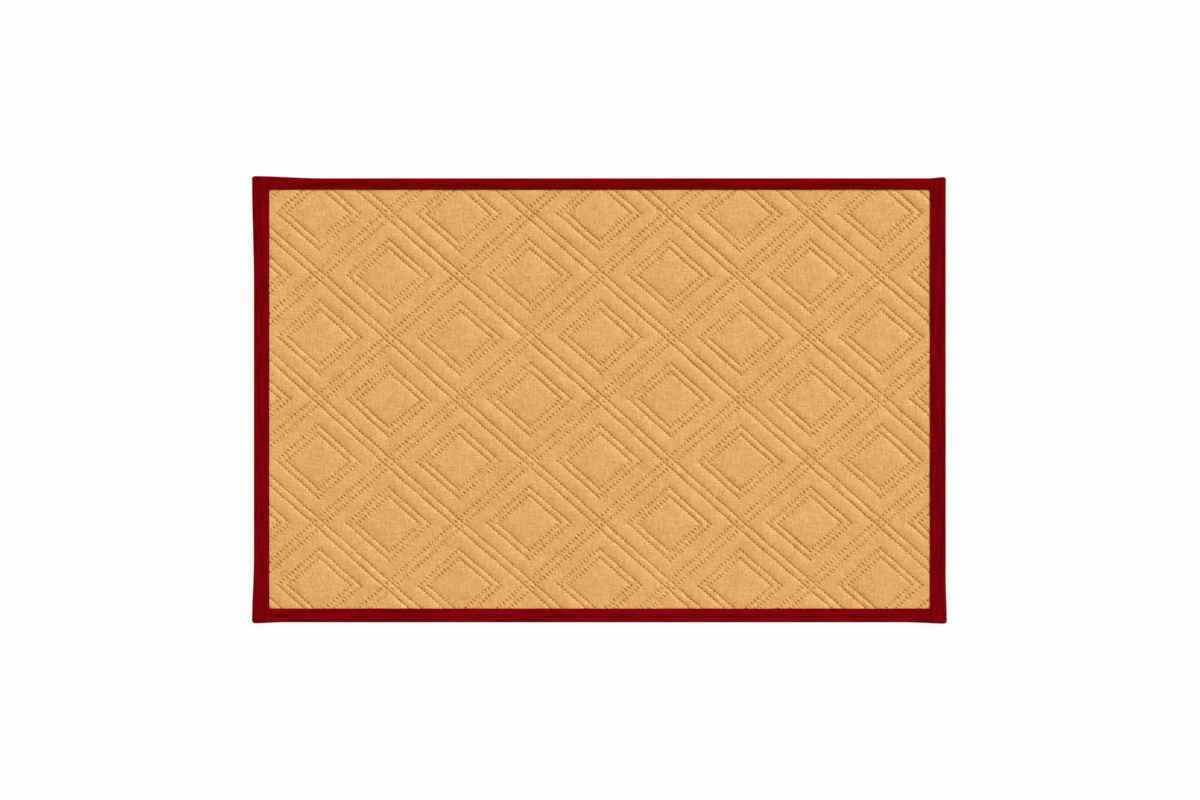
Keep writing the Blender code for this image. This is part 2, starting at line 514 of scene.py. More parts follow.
class Grain:
    """Smooth uneven ground: a value between 0 and 1 at every place, the same on each run."""

    SIZE = 64

    def __init__(self, seed: int) -> None:
        """Draws the values that the ground passes through."""
        self.table = np.random.default_rng(seed).random((self.SIZE, self.SIZE))

    def at(self, u: np.ndarray, v: np.ndarray) -> np.ndarray:
        """The ground's value at places.

        Args:
            u: Their first numbers, in steps of the ground's own grid.
            v: Their second ones.

        Returns:
            The values, from 0 to 1.
        """
        column = np.floor(u).astype(int)
        row = np.floor(v).astype(int)
        across = eased(u - column)
        along = eased(v - row)
        corner = [
            [self.table[(column + i) % self.SIZE, (row + j) % self.SIZE] for j in (0, 1)] for i in (0, 1)
        ]
        near = corner[0][0] * (1 - across) + corner[1][0] * across
        far = corner[0][1] * (1 - across) + corner[1][1] * across
        return near * (1 - along) + far * along

    def swing(self, u: np.ndarray, v: np.ndarray) -> np.ndarray:
        """The ground's value at places on its own grid, stretched to run from -1 to 1."""
        return self.at(u, v) * 2.0 - 1.0

    def over(
        self,
        x: np.ndarray,
        y: np.ndarray,
        size: tuple[float, float],
        start: tuple[float, float] = (0.0, 0.0),
    ) -> np.ndarray:
        """The ground's value at places in metres.

        Args:
            x: Their places one way.
            y: Their places the other way.
            size: How long its patches are each way, in metres.
            start: Which place of the ground's own grid lies at 0.

        Returns:
            The values, from -1 to 1.
        """
        return self.swing(x / size[0] + start[0], y / size[1] + start[1])


# ---------------------------------------------------------------------------------------------------------
# The quilting
# ---------------------------------------------------------------------------------------------------------


class Way(Enum):
    """The two ways in which the trellis's bars run, seen from above."""

    FALLING = -1
    RISING = 1


@dataclass(frozen=True)
class Wave:
    """A regular wave over the mat.

    Attributes:
        turn_x: How fast its angle grows along X, in radians a metre.
        turn_y: The same along Y.
        start: Its angle at the mat's middle.
    """

    turn_x: float
    turn_y: float
    start: float

    def at(self, x: Any, y: Any) -> Any:
        """Its height at places, from -1 to 1."""
        return sine(x * self.turn_x + y * self.turn_y + self.start)


@dataclass(frozen=True)
class Row:
    """A stitched line that runs round inside every diamond.

    Attributes:
        inside: How far it lies inside the middle lines of the diamond's bars.
        stitches: How many stitches one of its sides has; a trellis row's are counted from bar to bar.
        crosses: Whether it runs on through the bars that it meets, or turns at the diamond's corners.
    """

    inside: float
    stitches: int
    crosses: bool = False


@dataclass(frozen=True)
class Trellis:
    """The lines that the mat is quilted along.

    Places are also given in turns: how many diamonds lie between the mat's middle and the place, counted
    across the falling bars and across the rising ones.

    Attributes:
        diamond_width: How wide a diamond is, from the middle of one crossing to the next.
        diamond_depth: How deep.
        bar: The row on each side of a bar.
        echo_outer: The outer row of the small diamond.
        echo_inner: The inner one.
        bow: How far the sewn lines bow from straight ones.
        wobble: How far they wobble as well.
        bows: The bows along X and along Y.
        wobbles: The wobbles along X and along Y.
    """

    diamond_width: float = 0.093
    diamond_depth: float = 0.082
    bar: Row = Row(inside=0.0026, stitches=24, crosses=True)
    echo_outer: Row = Row(inside=0.0126, stitches=14)
    echo_inner: Row = Row(inside=0.0170, stitches=11)
    bow: float = 0.00045
    wobble: float = 0.00014
    bows: tuple[Wave, Wave] = (Wave(4.0, 33.0, 0.7), Wave(30.0, -5.0, 1.9))
    wobbles: tuple[Wave, Wave] = (Wave(155.0, 270.0, 2.1), Wave(235.0, -170.0, 0.4))

    REFINEMENTS = 3
    SAME_LINE_DIGITS = 9

    @property
    def rows(self) -> tuple[Row, Row, Row]:
        """Its stitched lines, from the bars inwards."""
        return self.bar, self.echo_outer, self.echo_inner

    @property
    def pitch(self) -> float:
        """From one bar's middle line to the next one's, square across."""
        return self.diamond_width * self.diamond_depth / hypot(self.diamond_width, self.diamond_depth)

    @property
    def side(self) -> float:
        """From one crossing to the next, along a bar's middle line."""
        return hypot(self.diamond_width, self.diamond_depth) / 2

    def stray(self, x: Any, y: Any) -> tuple[Any, Any]:
        """How far the sewn lines stray from straight ones.

        Args:
            x: Places along X, in metres: an array or a shader value.
            y: Their places along Y.

        Returns:
            The distances along X and along Y.
        """
        across, along = (
            self.bow * bow.at(x, y) + self.wobble * wobble.at(x, y)
            for bow, wobble in zip(self.bows, self.wobbles)
        )
        return across, along

    def turns(self, x: Any, y: Any) -> tuple[Any, Any]:
        """Places in turns.

        Args:
            x: Their places along X, in metres: an array or a shader value.
            y: Their places along Y.

        Returns:
            Their places across the falling bars and across the rising ones.
        """
        stray = self.stray(x, y)
        across = (x - stray[0]) / self.diamond_width
        along = (y - stray[1]) / self.diamond_depth
        return across + along, across - along

    def places(self, falling: np.ndarray, rising: np.ndarray) -> Places:
        """Places in metres.

        Args:
            falling: Their places across the falling bars, in turns.
            rising: Their places across the rising ones.

        Returns:
            Their places along X and along Y, found step by step, because the lines stray.
        """
        x = self.diamond_width * (falling + rising) / 2
        y = self.diamond_depth * (falling - rising) / 2
        for _ in range(self.REFINEMENTS):
            reached = self.turns(x, y)
            missing = falling - reached[0], rising - reached[1]
            x = x + self.diamond_width * (missing[0] + missing[1]) / 2
            y = y + self.diamond_depth * (missing[0] - missing[1]) / 2
        return x, y

    def from_bar(self, turns: np.ndarray) -> np.ndarray:
        """The distance from the nearest bar's middle line, of one way."""
        return self.pitch * np.abs(turns - np.round(turns))

    def heading(self, way: Way) -> np.ndarray:
        """The direction in which a bar runs, towards +X."""
        run = np.array([self.diamond_width, way.value * self.diamond_depth])
        return run / np.hypot(*run)

    def grid_turns(self, steps: Sequence[float], reach: float) -> np.ndarray:
        """Lines across the trellis for a mesh, closest together where the cloth bends most.

        Args:
            steps: Their distances from a bar's middle line, in metres. One more runs through the middle of
                each diamond.
            reach: How many turns from the mat's middle they go.

        Returns:
            Their places in turns, in order.
        """
        shares = np.array(steps) / self.pitch
        one_turn = np.concatenate([shares, [0.5], 1.0 - shares]).round(self.SAME_LINE_DIGITS)
        one_turn = np.unique(one_turn)[:-1]
        whole = np.arange(-np.ceil(reach), np.ceil(reach) + 1)
        return (whole[:, None] + one_turn[None, :]).ravel()


@dataclass(frozen=True)
class Relief:
    """How the wadded cloth rises between its stitched rows.

    Attributes:
        trellis: The lines that it is quilted along.
        shown: The oblong that the binding leaves free.
        row_height: The cloth's height along a row.
        swell: How far it rises at once beside a row, within the swell's reach.
        crown: How far it rises further towards the middle of a wide pocket, within the crown's reach.
        edge_height: The height that it is pressed to beside the binding.
        edge_relief: How far below that height its rows still lie there.
        edge_ramp: How far from the binding the pressing is felt.
        pucker: How high the small creases that run away from the rows are, and how far they reach.
        pucker_start: How far from a row they have set in.
        pucker_spacing: How far apart they are along a row.
        pucker_stretch: How many times as long they run away from the row.
        sway: How much the cloth's fullness varies from place to place, as a share.
        sway_size: How long the patches of that are along X and along Y.
        tension: How much the pull of the thread varies along the rows, as a share.
        tension_size: How long the patches of that are along X and along Y.
        ground: The uneven ground of the fullness.
        creases: That of the puckers and of the pull.
    """

    trellis: Trellis
    shown: Oblong
    row_height: float = 0.0014
    swell: float = 0.00075
    swell_reach: float = 0.00050
    crown: float = 0.00036
    crown_reach: float = 0.0055
    edge_height: float = 0.00245
    edge_relief: float = 0.0005
    edge_ramp: float = 0.0042
    pucker: float = 0.00016
    pucker_reach: float = 0.0032
    pucker_start: float = 0.0006
    pucker_spacing: float = 0.0033
    pucker_stretch: float = 3.0
    sway: float = 0.12
    sway_size: tuple[float, float] = (0.017, 0.017)
    tension: float = 0.34
    tension_size: tuple[float, float] = (0.012, 0.012)
    ground: Grain = field(default_factory=lambda: Grain(11))
    creases: Grain = field(default_factory=lambda: Grain(23))

    # How sharply the nearest row decides, how sharp a small diamond's corners are, and the least distance.
    MIN_SHARPNESS = 2.6
    CORNER_SHARPNESS = 3.0
    LEAST = 1e-7

    # The puckers' finer waves, against the coarse ones, and where on the grounds each unevenness starts.
    FINE_SHARE = 0.5
    FINE_SCALE = 2.1
    FINE_START = 9
    SWAY_START = (31, 17)
    TENSION_START = (3, 41)

    def pocket_distance(self, falling: np.ndarray, rising: np.ndarray) -> np.ndarray:
        """How far places lie from the rows round the pocket that they are in.

        Args:
            falling: The places' distances from the nearest falling bar's middle line.
            rising: The same from the nearest rising bar's.

        Returns:
            The distances, smoothed so that no crease runs where two rows are as near as each other.
        """
        bar, outer, inner = (row.inside for row in self.trellis.rows)
        pitch = self.trellis.pitch
        nearest = np.minimum(falling, rising)
        bound = np.select([nearest < outer, nearest < inner], [bar, outer], inner)
        next_bound = np.select([nearest < outer, nearest < inner], [outer, inner], np.inf)
        on_bar = nearest < bar
        total = np.zeros_like(falling)
        for own in (falling, rising):
            beside = np.where(on_bar, np.abs(own - bar), own - bound)
            beyond = np.where(on_bar & (own < bar), bar + own, pitch - own - np.where(on_bar, bar, bound))
            for distance in (beside, beyond):
                total += np.maximum(distance, self.LEAST) ** -self.MIN_SHARPNESS
        capped = np.where(np.isfinite(next_bound), next_bound, 0.0)
        corner = sum(np.maximum(capped - own, 0.0) ** self.CORNER_SHARPNESS for own in (falling, rising))
        inwards = np.maximum(corner ** (1.0 / self.CORNER_SHARPNESS), self.LEAST)
        bounded = np.isfinite(next_bound) & ~on_bar
        total += np.where(bounded, inwards**-self.MIN_SHARPNESS, 0.0)
        return total ** (-1.0 / self.MIN_SHARPNESS)

    def row_distance(self, own: np.ndarray, other: np.ndarray) -> np.ndarray:
        """How far places lie from the nearest row that runs one way.

        Args:
            own: The places' distances from that way's nearest bar.
            other: The same for the other way.

        Returns:
            The distances.
        """
        gaps = [
            np.where(row.crosses | (other >= row.inside), np.abs(own - row.inside), np.inf)
            for row in self.trellis.rows
        ]
        return np.minimum.reduce(gaps)

    def puckers(self, falling: np.ndarray, rising: np.ndarray) -> np.ndarray:
        """The height of the small creases.

        Args:
            falling: Places across the falling bars, in turns.
            rising: Their places across the rising ones.

        Returns:
            The heights, about 0.
        """
        height = np.zeros_like(falling)
        for turn, other in ((falling, rising), (rising, falling)):
            gap = self.row_distance(self.trellis.from_bar(turn), self.trellis.from_bar(other))
            strength = np.exp(-gap / self.pucker_reach) * (1.0 - np.exp(-gap / self.pucker_start))
            along = other * self.trellis.side / self.pucker_spacing
            across = turn * self.trellis.pitch / (self.pucker_stretch * self.pucker_spacing)
            fine = self.creases.swing(self.FINE_SCALE * along, across + self.FINE_START)
            waves = self.creases.swing(along, across) + self.FINE_SHARE * fine
            height += self.pucker * strength * waves
        return height

    def height(self, x: np.ndarray, y: np.ndarray) -> np.ndarray:
        """The height of the cloth's upper face.

        Args:
            x: Places along X.
            y: Their places along Y.

        Returns:
            The heights.
        """
        falling, rising = self.trellis.turns(x, y)
        gap = self.pocket_distance(self.trellis.from_bar(falling), self.trellis.from_bar(rising))
        pull = self.creases.over(x, y, self.tension_size, self.TENSION_START)
        swell = self.swell * (1.0 + self.tension * pull) * (1.0 - np.exp(-gap / self.swell_reach))
        crown = self.crown * (1.0 - np.exp(-gap / self.crown_reach))
        sway = 1.0 + self.sway * self.ground.over(x, y, self.sway_size, self.SWAY_START)
        rise = (swell + crown) * sway
        free = self.row_height + rise + self.puckers(falling, rising)
        pressed = self.edge_height - self.edge_relief * (1.0 - clamped(rise / (self.swell + self.crown)))
        freed = eased(self.shown.depth_inside(x, y) / self.edge_ramp)
        return pressed + freed * (free - pressed)


@dataclass(frozen=True)
class Underside:
    """The mat's underside: flat, with the rows drawn up into it as shallow grooves.

    Attributes:
        trellis: The lines that the mat is quilted along.
        groove: How deep a groove is.
        groove_half: From its middle to its side.
    """

    trellis: Trellis
    groove: float = 0.00032
    groove_half: float = 0.0011

    def height(self, x: np.ndarray, y: np.ndarray) -> np.ndarray:
        """The height of the cloth's lower face.

        Args:
            x: Places along X.
            y: Their places along Y.

        Returns:
            The heights.
        """
        falling, rising = (self.trellis.from_bar(turns) for turns in self.trellis.turns(x, y))
        height = np.zeros_like(falling)
        for own, other in ((falling, rising), (rising, falling)):
            for row in self.trellis.rows:
                gap = np.abs(own - row.inside)
                present = row.crosses | (other >= row.inside - self.groove_half)
                drawn_up = np.where(present, 1.0 - clamped(gap / self.groove_half), 0.0)
                height = np.maximum(height, self.groove * drawn_up)
        return height


def placed(name: str, data: bpy.types.ID) -> bpy.types.Object:
    """Makes an object of a mesh, a light or a camera.

    Args:
        name: The object's name.
        data: What it shows.

    Returns:
        The object, in the scene.
    """
    made = bpy.data.objects.new(name, data)
    bpy.context.scene.collection.objects.link(made)
    return made


def finished_mesh(name: str, bm: bmesh.types.BMesh) -> bpy.types.Mesh:
    """Ends the work on a mesh.

    Args:
        name: The mesh's name.
        bm: The mesh under work, which is freed.

    Returns:
        The mesh.
    """
    mesh = bpy.data.meshes.new(name)
    bm.to_mesh(mesh)
    bm.free()
    return mesh


def mesh_object(name: str, points: np.ndarray, faces: Iterable[Sequence[int]]) -> bpy.types.Object:
    """Makes an object of a mesh.

    Args:
        name: The object's name.
        points: Its points, a row each.
        faces: The places of each face's points among them.

    Returns:
        The object, smooth all over and in the scene.
    """
    mesh = bpy.data.meshes.new(name)
    mesh.from_pydata(points.tolist(), [], [list(map(int, face)) for face in faces])
    mesh.shade_smooth()
    return placed(name, mesh)


def grid_faces(columns: int, rows: int) -> np.ndarray:
    """The quads of a grid of points, which are counted along its columns first.

    Args:
        columns: How many lines of points it has.
        rows: How many points each line has.

    Returns:
        The faces, a row of four places each.
    """
    start = (np.arange(columns - 1)[:, None] * rows + np.arange(rows - 1)[None, :]).ravel()
    return np.stack([start, start + rows, start + rows + 1, start + 1], axis=1)


@dataclass
class QuiltedCloth:
    """The gold quilted panel, a single closed body whose edge lies inside the binding.

    Attributes:
        plan: The mat's plan.
        relief: The form of its upper face.
        underside: The form of its lower face.
        node: The solid that it is shown for.
        slot: What it is made of; not used.
        tuck: How far its full relief runs on under the binding's lips.
        inset: How far its cut edge stops short of the mat's outline.
        corner_cut: How far its corners are trimmed, along each side.
        pressed_low: The height of the cut edge's lower side, inside the binding.
        pressed_high: The height of its upper side.
        underside_ramp: How far inside the shown oblong the underside starts to rise to the cut edge.
        rim_step: From one point of the cut edge to the next.
        upper_steps: Where the upper face's mesh lines run, from a bar's middle line inwards.
        lower_steps: Where the lower face's do.
        same_point: How near two points are that are one.
    """

    plan: Plan
    relief: Relief
    underside: Underside
    node: str = "quilted_panel"
    name: str = "quilted_cloth"
    slot: str = "gold_cotton"
    tuck: float = 0.0012
    inset: float = 0.0011
    corner_cut: float = 0.0015
    pressed_low: float = 0.0009
    pressed_high: float = 0.0023
    underside_ramp: float = 0.0018
    rim_step: float = 0.010
    upper_steps: tuple[float, ...] = (
        0.0, 0.0012, 0.00195, 0.0023, 0.0026, 0.0029, 0.00335, 0.0042, 0.0062, 0.0088, 0.0112, 0.0120,
        0.0123, 0.0126, 0.0129, 0.0134, 0.0148, 0.0162, 0.0167, 0.0170, 0.0173, 0.0178, 0.0190, 0.0218,
        0.0262,
    )
    lower_steps: tuple[float, ...] = (
        0.0, 0.0015, 0.0026, 0.0037, 0.0115, 0.0126, 0.0137, 0.0159, 0.0170, 0.0181,
    )
    same_point: float = 0.00003

    @property
    def quilted(self) -> Oblong:
        """The oblong with the full relief, which runs a little way in under the binding's lips."""
        return self.plan.shown.shrunk(-self.tuck)

    @property
    def flat_size(self) -> tuple[float, float]:
        """The size that the cloth is cut to."""
        return self.plan.width - 2 * self.inset, self.plan.depth - 2 * self.inset

    def add_face(
        self, bm: bmesh.types.BMesh, steps: Sequence[float], within: Oblong
    ) -> list[bmesh.types.BMVert]:
        """Adds a level skewed grid along the trellis, trimmed to an oblong.

        Args:
            bm: The mesh that it is added to.
            steps: The grid's lines, from a bar's middle line to the middle of a diamond.
            within: The oblong.

        Returns:
            The grid's points.
        """
        trellis = self.relief.trellis
        reach = self.plan.half_width / trellis.diamond_width + self.plan.half_depth / trellis.diamond_depth
        turns = trellis.grid_turns(steps, reach)
        falling, rising = (axis.ravel() for axis in np.meshgrid(turns, turns, indexing="ij"))
        x, y = trellis.places(falling, rising)
        inside = within.depth_inside(x, y)
        faces = grid_faces(len(turns), len(turns))
        kept = faces[(inside[faces] > 0.0).any(axis=1)]
        used = np.unique(kept)
        verts = {place: bm.verts.new((x[place], y[place], 0.0)) for place in used.tolist()}
        for face in kept.tolist():
            bm.faces.new([verts[place] for place in face])
        self.trim(bm, within)
        return bm.verts[:]

    def trim(self, bm: bmesh.types.BMesh, within: Oblong) -> None:
        """Cuts away what lies outside an oblong.

        The cut takes the mesh's parts in the mesh's own order, so that it comes out the same on each run.

        Args:
            bm: The mesh.
            within: The oblong.
        """
        for place, outward in within.sides():
            beyond = {vert for vert in bm.verts if (vert.co - place).dot(outward) > 0.0}
            crossing = [face for face in bm.faces if not beyond.isdisjoint(face.verts)]
            edges = dict.fromkeys(edge for face in crossing for edge in face.edges)
            verts = dict.fromkeys(vert for edge in edges for vert in edge.verts)
            geom = [*verts, *edges, *crossing]
            bmesh.ops.bisect_plane(bm, geom=geom, plane_co=place, plane_no=outward, clear_outer=True)
        bmesh.ops.remove_doubles(bm, verts=bm.verts, dist=self.same_point)

    def outline(self) -> np.ndarray:
        """The cut outline, corners trimmed, sides drawn in with the binding's.

        Returns:
            Its places in order round the mat, a row each.
        """
        x = self.plan.half_width - self.inset
        y = self.plan.half_depth - self.inset
        cut = self.corner_cut
        across = np.linspace(cut - x, x - cut, round(2 * x / self.rim_step))
        along = np.linspace(cut - y, y - cut, round(2 * y / self.rim_step))
        near = np.stack([across, np.full_like(across, -y)], axis=1)
        right = np.stack([np.full_like(along, x), along], axis=1)
        far = np.stack([across[::-1], np.full_like(across, y)], axis=1)
        left = np.stack([np.full_like(along, -x), along[::-1]], axis=1)
        places = np.concatenate([near, right, far, left])
        return np.stack(self.plan.drawn_in(places[:, 0], places[:, 1]), axis=1)

    def add_loop(
        self, bm: bmesh.types.BMesh, places: Iterable[Sequence[float]], height: float
    ) -> list[bmesh.types.BMEdge]:
        """Adds a closed loop of edges through places, at a height.

        Args:
            bm: The mesh that it is added to.
            places: Where it runs.
            height: How high.

        Returns:
            Its edges.
        """
        verts = [bm.verts.new((x, y, height)) for x, y in places]
        return [bm.edges.new(pair) for pair in zip(verts, verts[1:] + verts[:1])]

    def lift(self, verts: list[bmesh.types.BMVert], surface: Relief | Underside) -> None:
        """Raises a face's points to the height of a surface.

        Args:
            verts: The points.
            surface: What gives the height.
        """
        places = np.array([vert.co.xy for vert in verts])
        for vert, height in zip(verts, surface.height(places[:, 0], places[:, 1]).tolist()):
            vert.co.z = height

    def build(self) -> bpy.types.Object:
        """Builds the panel.

        Returns:
            The panel.
        """
        bm = bmesh.new()
        level = self.plan.shown.shrunk(self.underside_ramp)
        self.lift(self.add_face(bm, self.lower_steps, level), self.underside)
        under = finished_mesh("underside", bm)

        bm = bmesh.new()
        self.lift(self.add_face(bm, self.upper_steps, self.quilted), self.relief)
        shown_edge = [edge for edge in bm.edges if edge.is_boundary]
        upper_rim = self.add_loop(bm, self.outline(), self.pressed_high)
        lower_rim = self.add_loop(bm, self.outline(), self.pressed_low)
        known = set(shown_edge)
        bm.from_mesh(under)
        under_edge = [edge for edge in bm.edges if edge.is_boundary and edge not in known]
        bmesh.ops.triangle_fill(bm, edges=shown_edge + upper_rim, use_beauty=True)
        bmesh.ops.bridge_loops(bm, edges=upper_rim + lower_rim)
        bmesh.ops.triangle_fill(bm, edges=lower_rim + under_edge, use_beauty=True)
        bmesh.ops.recalc_face_normals(bm, faces=bm.faces)
        bpy.data.meshes.remove(under)

        mesh = finished_mesh(self.name, bm)
        mesh.shade_smooth()
        mesh.set_sharp_from_angle(angle=SHARP_ANGLE)
        return placed(self.name, mesh)

    def dress(self, panel: bpy.types.Object, finish: "GoldCotton") -> None:
        """Gives the panel its finish and its place in the frame.

        Args:
            panel: The panel.
            finish: Its finish.
        """
        panel.data.materials.append(finish.material(self.relief.trellis))
        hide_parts(self.node)
        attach(panel, BODY)


# ---------------------------------------------------------------------------------------------------------
# The stitches
# ---------------------------------------------------------------------------------------------------------


@dataclass(frozen=True)
class Stitches:
    """Where a set of stitches lies.

    Attributes:
        x: The places of their middles along X.
        y: The same along Y.
        heading: The direction in which all of them run.
        spacing: From one needle hole to the next.
    """

    x: np.ndarray
    y: np.ndarray
    heading: np.ndarray
    spacing: float


@dataclass
class Stitching:
    """The quilting's thread: a row of short arched stitches along every stitched line.

    Attributes:
        trellis: The lines that the mat is quilted along.
        surface: The face of the mat that the stitches lie on.
        within: The oblong that they stay inside.
        on_top: Whether that face is the upper one.
        sides: How many sides the thread has.
        rings: Where along a stitch its sides bend, from -1 to 1.
        slot: What the thread is made of; not used.
        thickness: The thread's thickness.
        share: How much of the way from one needle hole to the next a stitch shows.
        lift: How high the middle of a stitch rises over the cloth.
        dive: How far its ends go down into the needle holes.
        taper: How much slimmer the thread is at those ends, as a share.
        slant: How far stitches lie askew, as an angle.
        uneven: How much their length and thickness vary, as a share.
        pressed: How high a stitch of the underside stands, as a share of one of the upper face.
        clearance: How far it stays over the table.
        seed: What its random draws start from.
    """

    trellis: Trellis
    surface: Relief | Underside
    within: Oblong
    on_top: bool
    sides: int
    rings: tuple[float, ...]
    slot: str = "gold_cotton"
    thickness: float = 0.00048
    share: float = 0.80
    lift: float = 0.00020
    dive: float = 0.00040
    taper: float = 0.45
    slant: float = 0.10
    uneven: float = 0.10
    pressed: float = 0.6
    clearance: float = 0.00002
    seed: int = 5

    ARCH_POWER = 4

    @property
    def reach(self) -> int:
        """How many turns from the mat's middle the rows may go."""
        return int(np.ceil(self.within.right / self.trellis.diamond_width * 2)) + 1

    def along_bars(self, way: Way) -> Iterator[Stitches]:
        """The stitches of the rows beside the bars that run one way.

        Args:
            way: That way.

        Yields:
            The stitches.
        """
        row = self.trellis.bar
        other = (np.arange(-self.reach * row.stitches, self.reach * row.stitches) + 0.5) / row.stitches
        aside = row.inside / self.trellis.pitch
        bars = np.arange(-self.reach, self.reach + 1)
        lines = (bars[:, None] + [-aside, aside]).ravel()
        yield self.kept(way, lines, other, self.trellis.side / row.stitches)

    def along_echoes(self, way: Way) -> Iterator[Stitches]:
        """The stitches of the small diamonds' sides that run one way.

        Args:
            way: That way.

        Yields:
            The stitches of the outer diamonds, then those of the inner ones.
        """
        cells = np.arange(-self.reach, self.reach + 1)
        for row in (self.trellis.echo_outer, self.trellis.echo_inner):
            start = row.inside / self.trellis.pitch
            length = 1.0 - 2.0 * start
            steps = start + length * (np.arange(row.stitches) + 0.5) / row.stitches
            other = (cells[:, None] + steps[None, :]).ravel()
            lines = np.concatenate([cells + start, cells + 1.0 - start])
            yield self.kept(way, lines, other, self.trellis.side * length / row.stitches)

    def kept(self, way: Way, lines: np.ndarray, other: np.ndarray, spacing: float) -> Stitches:
        """The stitches that lie on the quilting that shows.

        Args:
            way: How their rows run.
            lines: The rows' places, in turns across that way's bars.
            other: The stitches' places along a row, in turns across the other way's bars.
            spacing: From one needle hole to the next.

        Returns:
            The stitches.
        """
        own, along = (axis.ravel() for axis in np.meshgrid(lines, other, indexing="ij"))
        turns = (own, along) if way is Way.FALLING else (along, own)
        x, y = self.trellis.places(*turns)
        inside = self.within.depth_inside(x, y) > spacing / 2
        return Stitches(x[inside], y[inside], self.trellis.heading(way), spacing)

    def build(self, name: str, rows: Iterable[Stitches]) -> bpy.types.Object:
        """Builds stitches as one joined mesh.

        Args:
            name: The object's name.
            rows: The stitches.

        Returns:
            The object.
        """
        draw = np.random.default_rng(self.seed)
        points = np.concatenate([self.points(stitches, draw) for stitches in rows])
        count = len(points)
        per_stitch = len(self.rings) * self.sides
        faces = self.stitch_faces()
        starts = np.arange(count) * per_stitch
        quads = (starts[:, None, None] + faces[None, :, :]).reshape(-1, 4)
        first = starts[:, None] + np.arange(self.sides)[None, :]
        last = first + per_stitch - self.sides
        caps = [first[:, ::-1], last] if self.on_top else [first, last[:, ::-1]]
        return mesh_object(name, points.reshape(-1, 3), [*quads, *caps[0], *caps[1]])

    def stitch_faces(self) -> np.ndarray:
        """The quads round one stitch, facing out.

        Returns:
            The faces, a row of four places each.
        """
        ring = np.arange(self.sides)
        following = (ring + 1) % self.sides
        first = np.stack([ring, following, following + self.sides, ring + self.sides], axis=1)
        bases = range(0, (len(self.rings) - 1) * self.sides, self.sides)
        quads = np.concatenate([base + first for base in bases])
        return quads if self.on_top else quads[:, ::-1]

    def points(self, stitches: Stitches, draw: np.random.Generator) -> np.ndarray:
        """The points of a set of stitches.

        Args:
            stitches: The stitches.
            draw: Where their unevenness comes from.

        Returns:
            The points: for each stitch, ring after ring.
        """
        count = len(stitches.x)
        turn = draw.normal(0.0, self.slant, count)
        stretch = 1.0 + self.uneven * draw.uniform(-1.0, 1.0, count)
        thick = 1.0 + self.uneven * draw.uniform(-1.0, 1.0, count)
        heading = np.stack([
            stitches.heading[0] * np.cos(turn) - stitches.heading[1] * np.sin(turn),
            stitches.heading[0] * np.sin(turn) + stitches.heading[1] * np.cos(turn),
        ], axis=1)
        across = np.stack([-heading[:, 1], heading[:, 0]], axis=1)

        ring = np.array(self.rings)
        sunk = ring**self.ARCH_POWER
        angle = 2 * pi * np.arange(self.sides) / self.sides + pi / 2
        slim = 1.0 - self.taper * sunk
        rise = (self.lift + self.dive) * (1.0 - sunk) - self.dive
        half = stitches.spacing * self.share / 2
        run = half * ring[None, :] * stretch[:, None]
        radius = self.thickness / 2 * thick[:, None] * slim[None, :]
        sideways = radius[:, :, None] * np.cos(angle)[None, None, :]
        upwards = rise[None, :, None] + radius[:, :, None] * np.sin(angle)[None, None, :]

        plan = (
            np.stack([stitches.x, stitches.y], axis=1)[:, None, None, :]
            + run[:, :, None, None] * heading[:, None, None, :]
            + sideways[:, :, :, None] * across[:, None, None, :]
        )
        ground = self.surface.height(stitches.x, stitches.y)[:, None, None]
        if self.on_top:
            height = ground + upwards
        else:
            height = np.maximum(ground - self.pressed * upwards, self.clearance)
        return np.concatenate([plan, height[..., None]], axis=3).reshape(count, -1, 3)

    def dress(self, thread: bpy.types.Object, material: bpy.types.Material) -> None:
        """Gives stitches their material and their place in the frame.

        Args:
            thread: The stitches.
            material: Their material.
        """
        thread.data.materials.append(material)
        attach(thread, BODY)


# ---------------------------------------------------------------------------------------------------------
# The binding
# ---------------------------------------------------------------------------------------------------------


class Edge(Enum):
    """The mat's four edges, each with the way that faces out there."""

    LEFT = (-1, 0)
    RIGHT = (1, 0)
    NEAR = (0, -1)
    FAR = (0, 1)

    @property
    def upright(self) -> bool:
        """Whether the edge runs along Y."""
        return self.value[0] != 0


@dataclass(frozen=True)
class Band:
    """A rounded ridge along a strip, or a hollow where its height is below 0.

    Attributes:
        height: How high its middle is.
        middle: How far that lies from the side of the strip that it is measured from.
        reach: How far from its middle it has sunk to about a third.
    """

    height: float
    middle: float
    reach: float

    def at(self, distance: np.ndarray) -> np.ndarray:
        """Its height at distances from that side."""
        return self.height * np.exp(-(((distance - self.middle) / self.reach) ** 2))


# How far inside the outline a mesh's lines lie over a round fold.
FOLD_STEPS = (0.0, 0.00006, 0.00022, 0.00045, 0.00075, 0.00108, 0.0014)


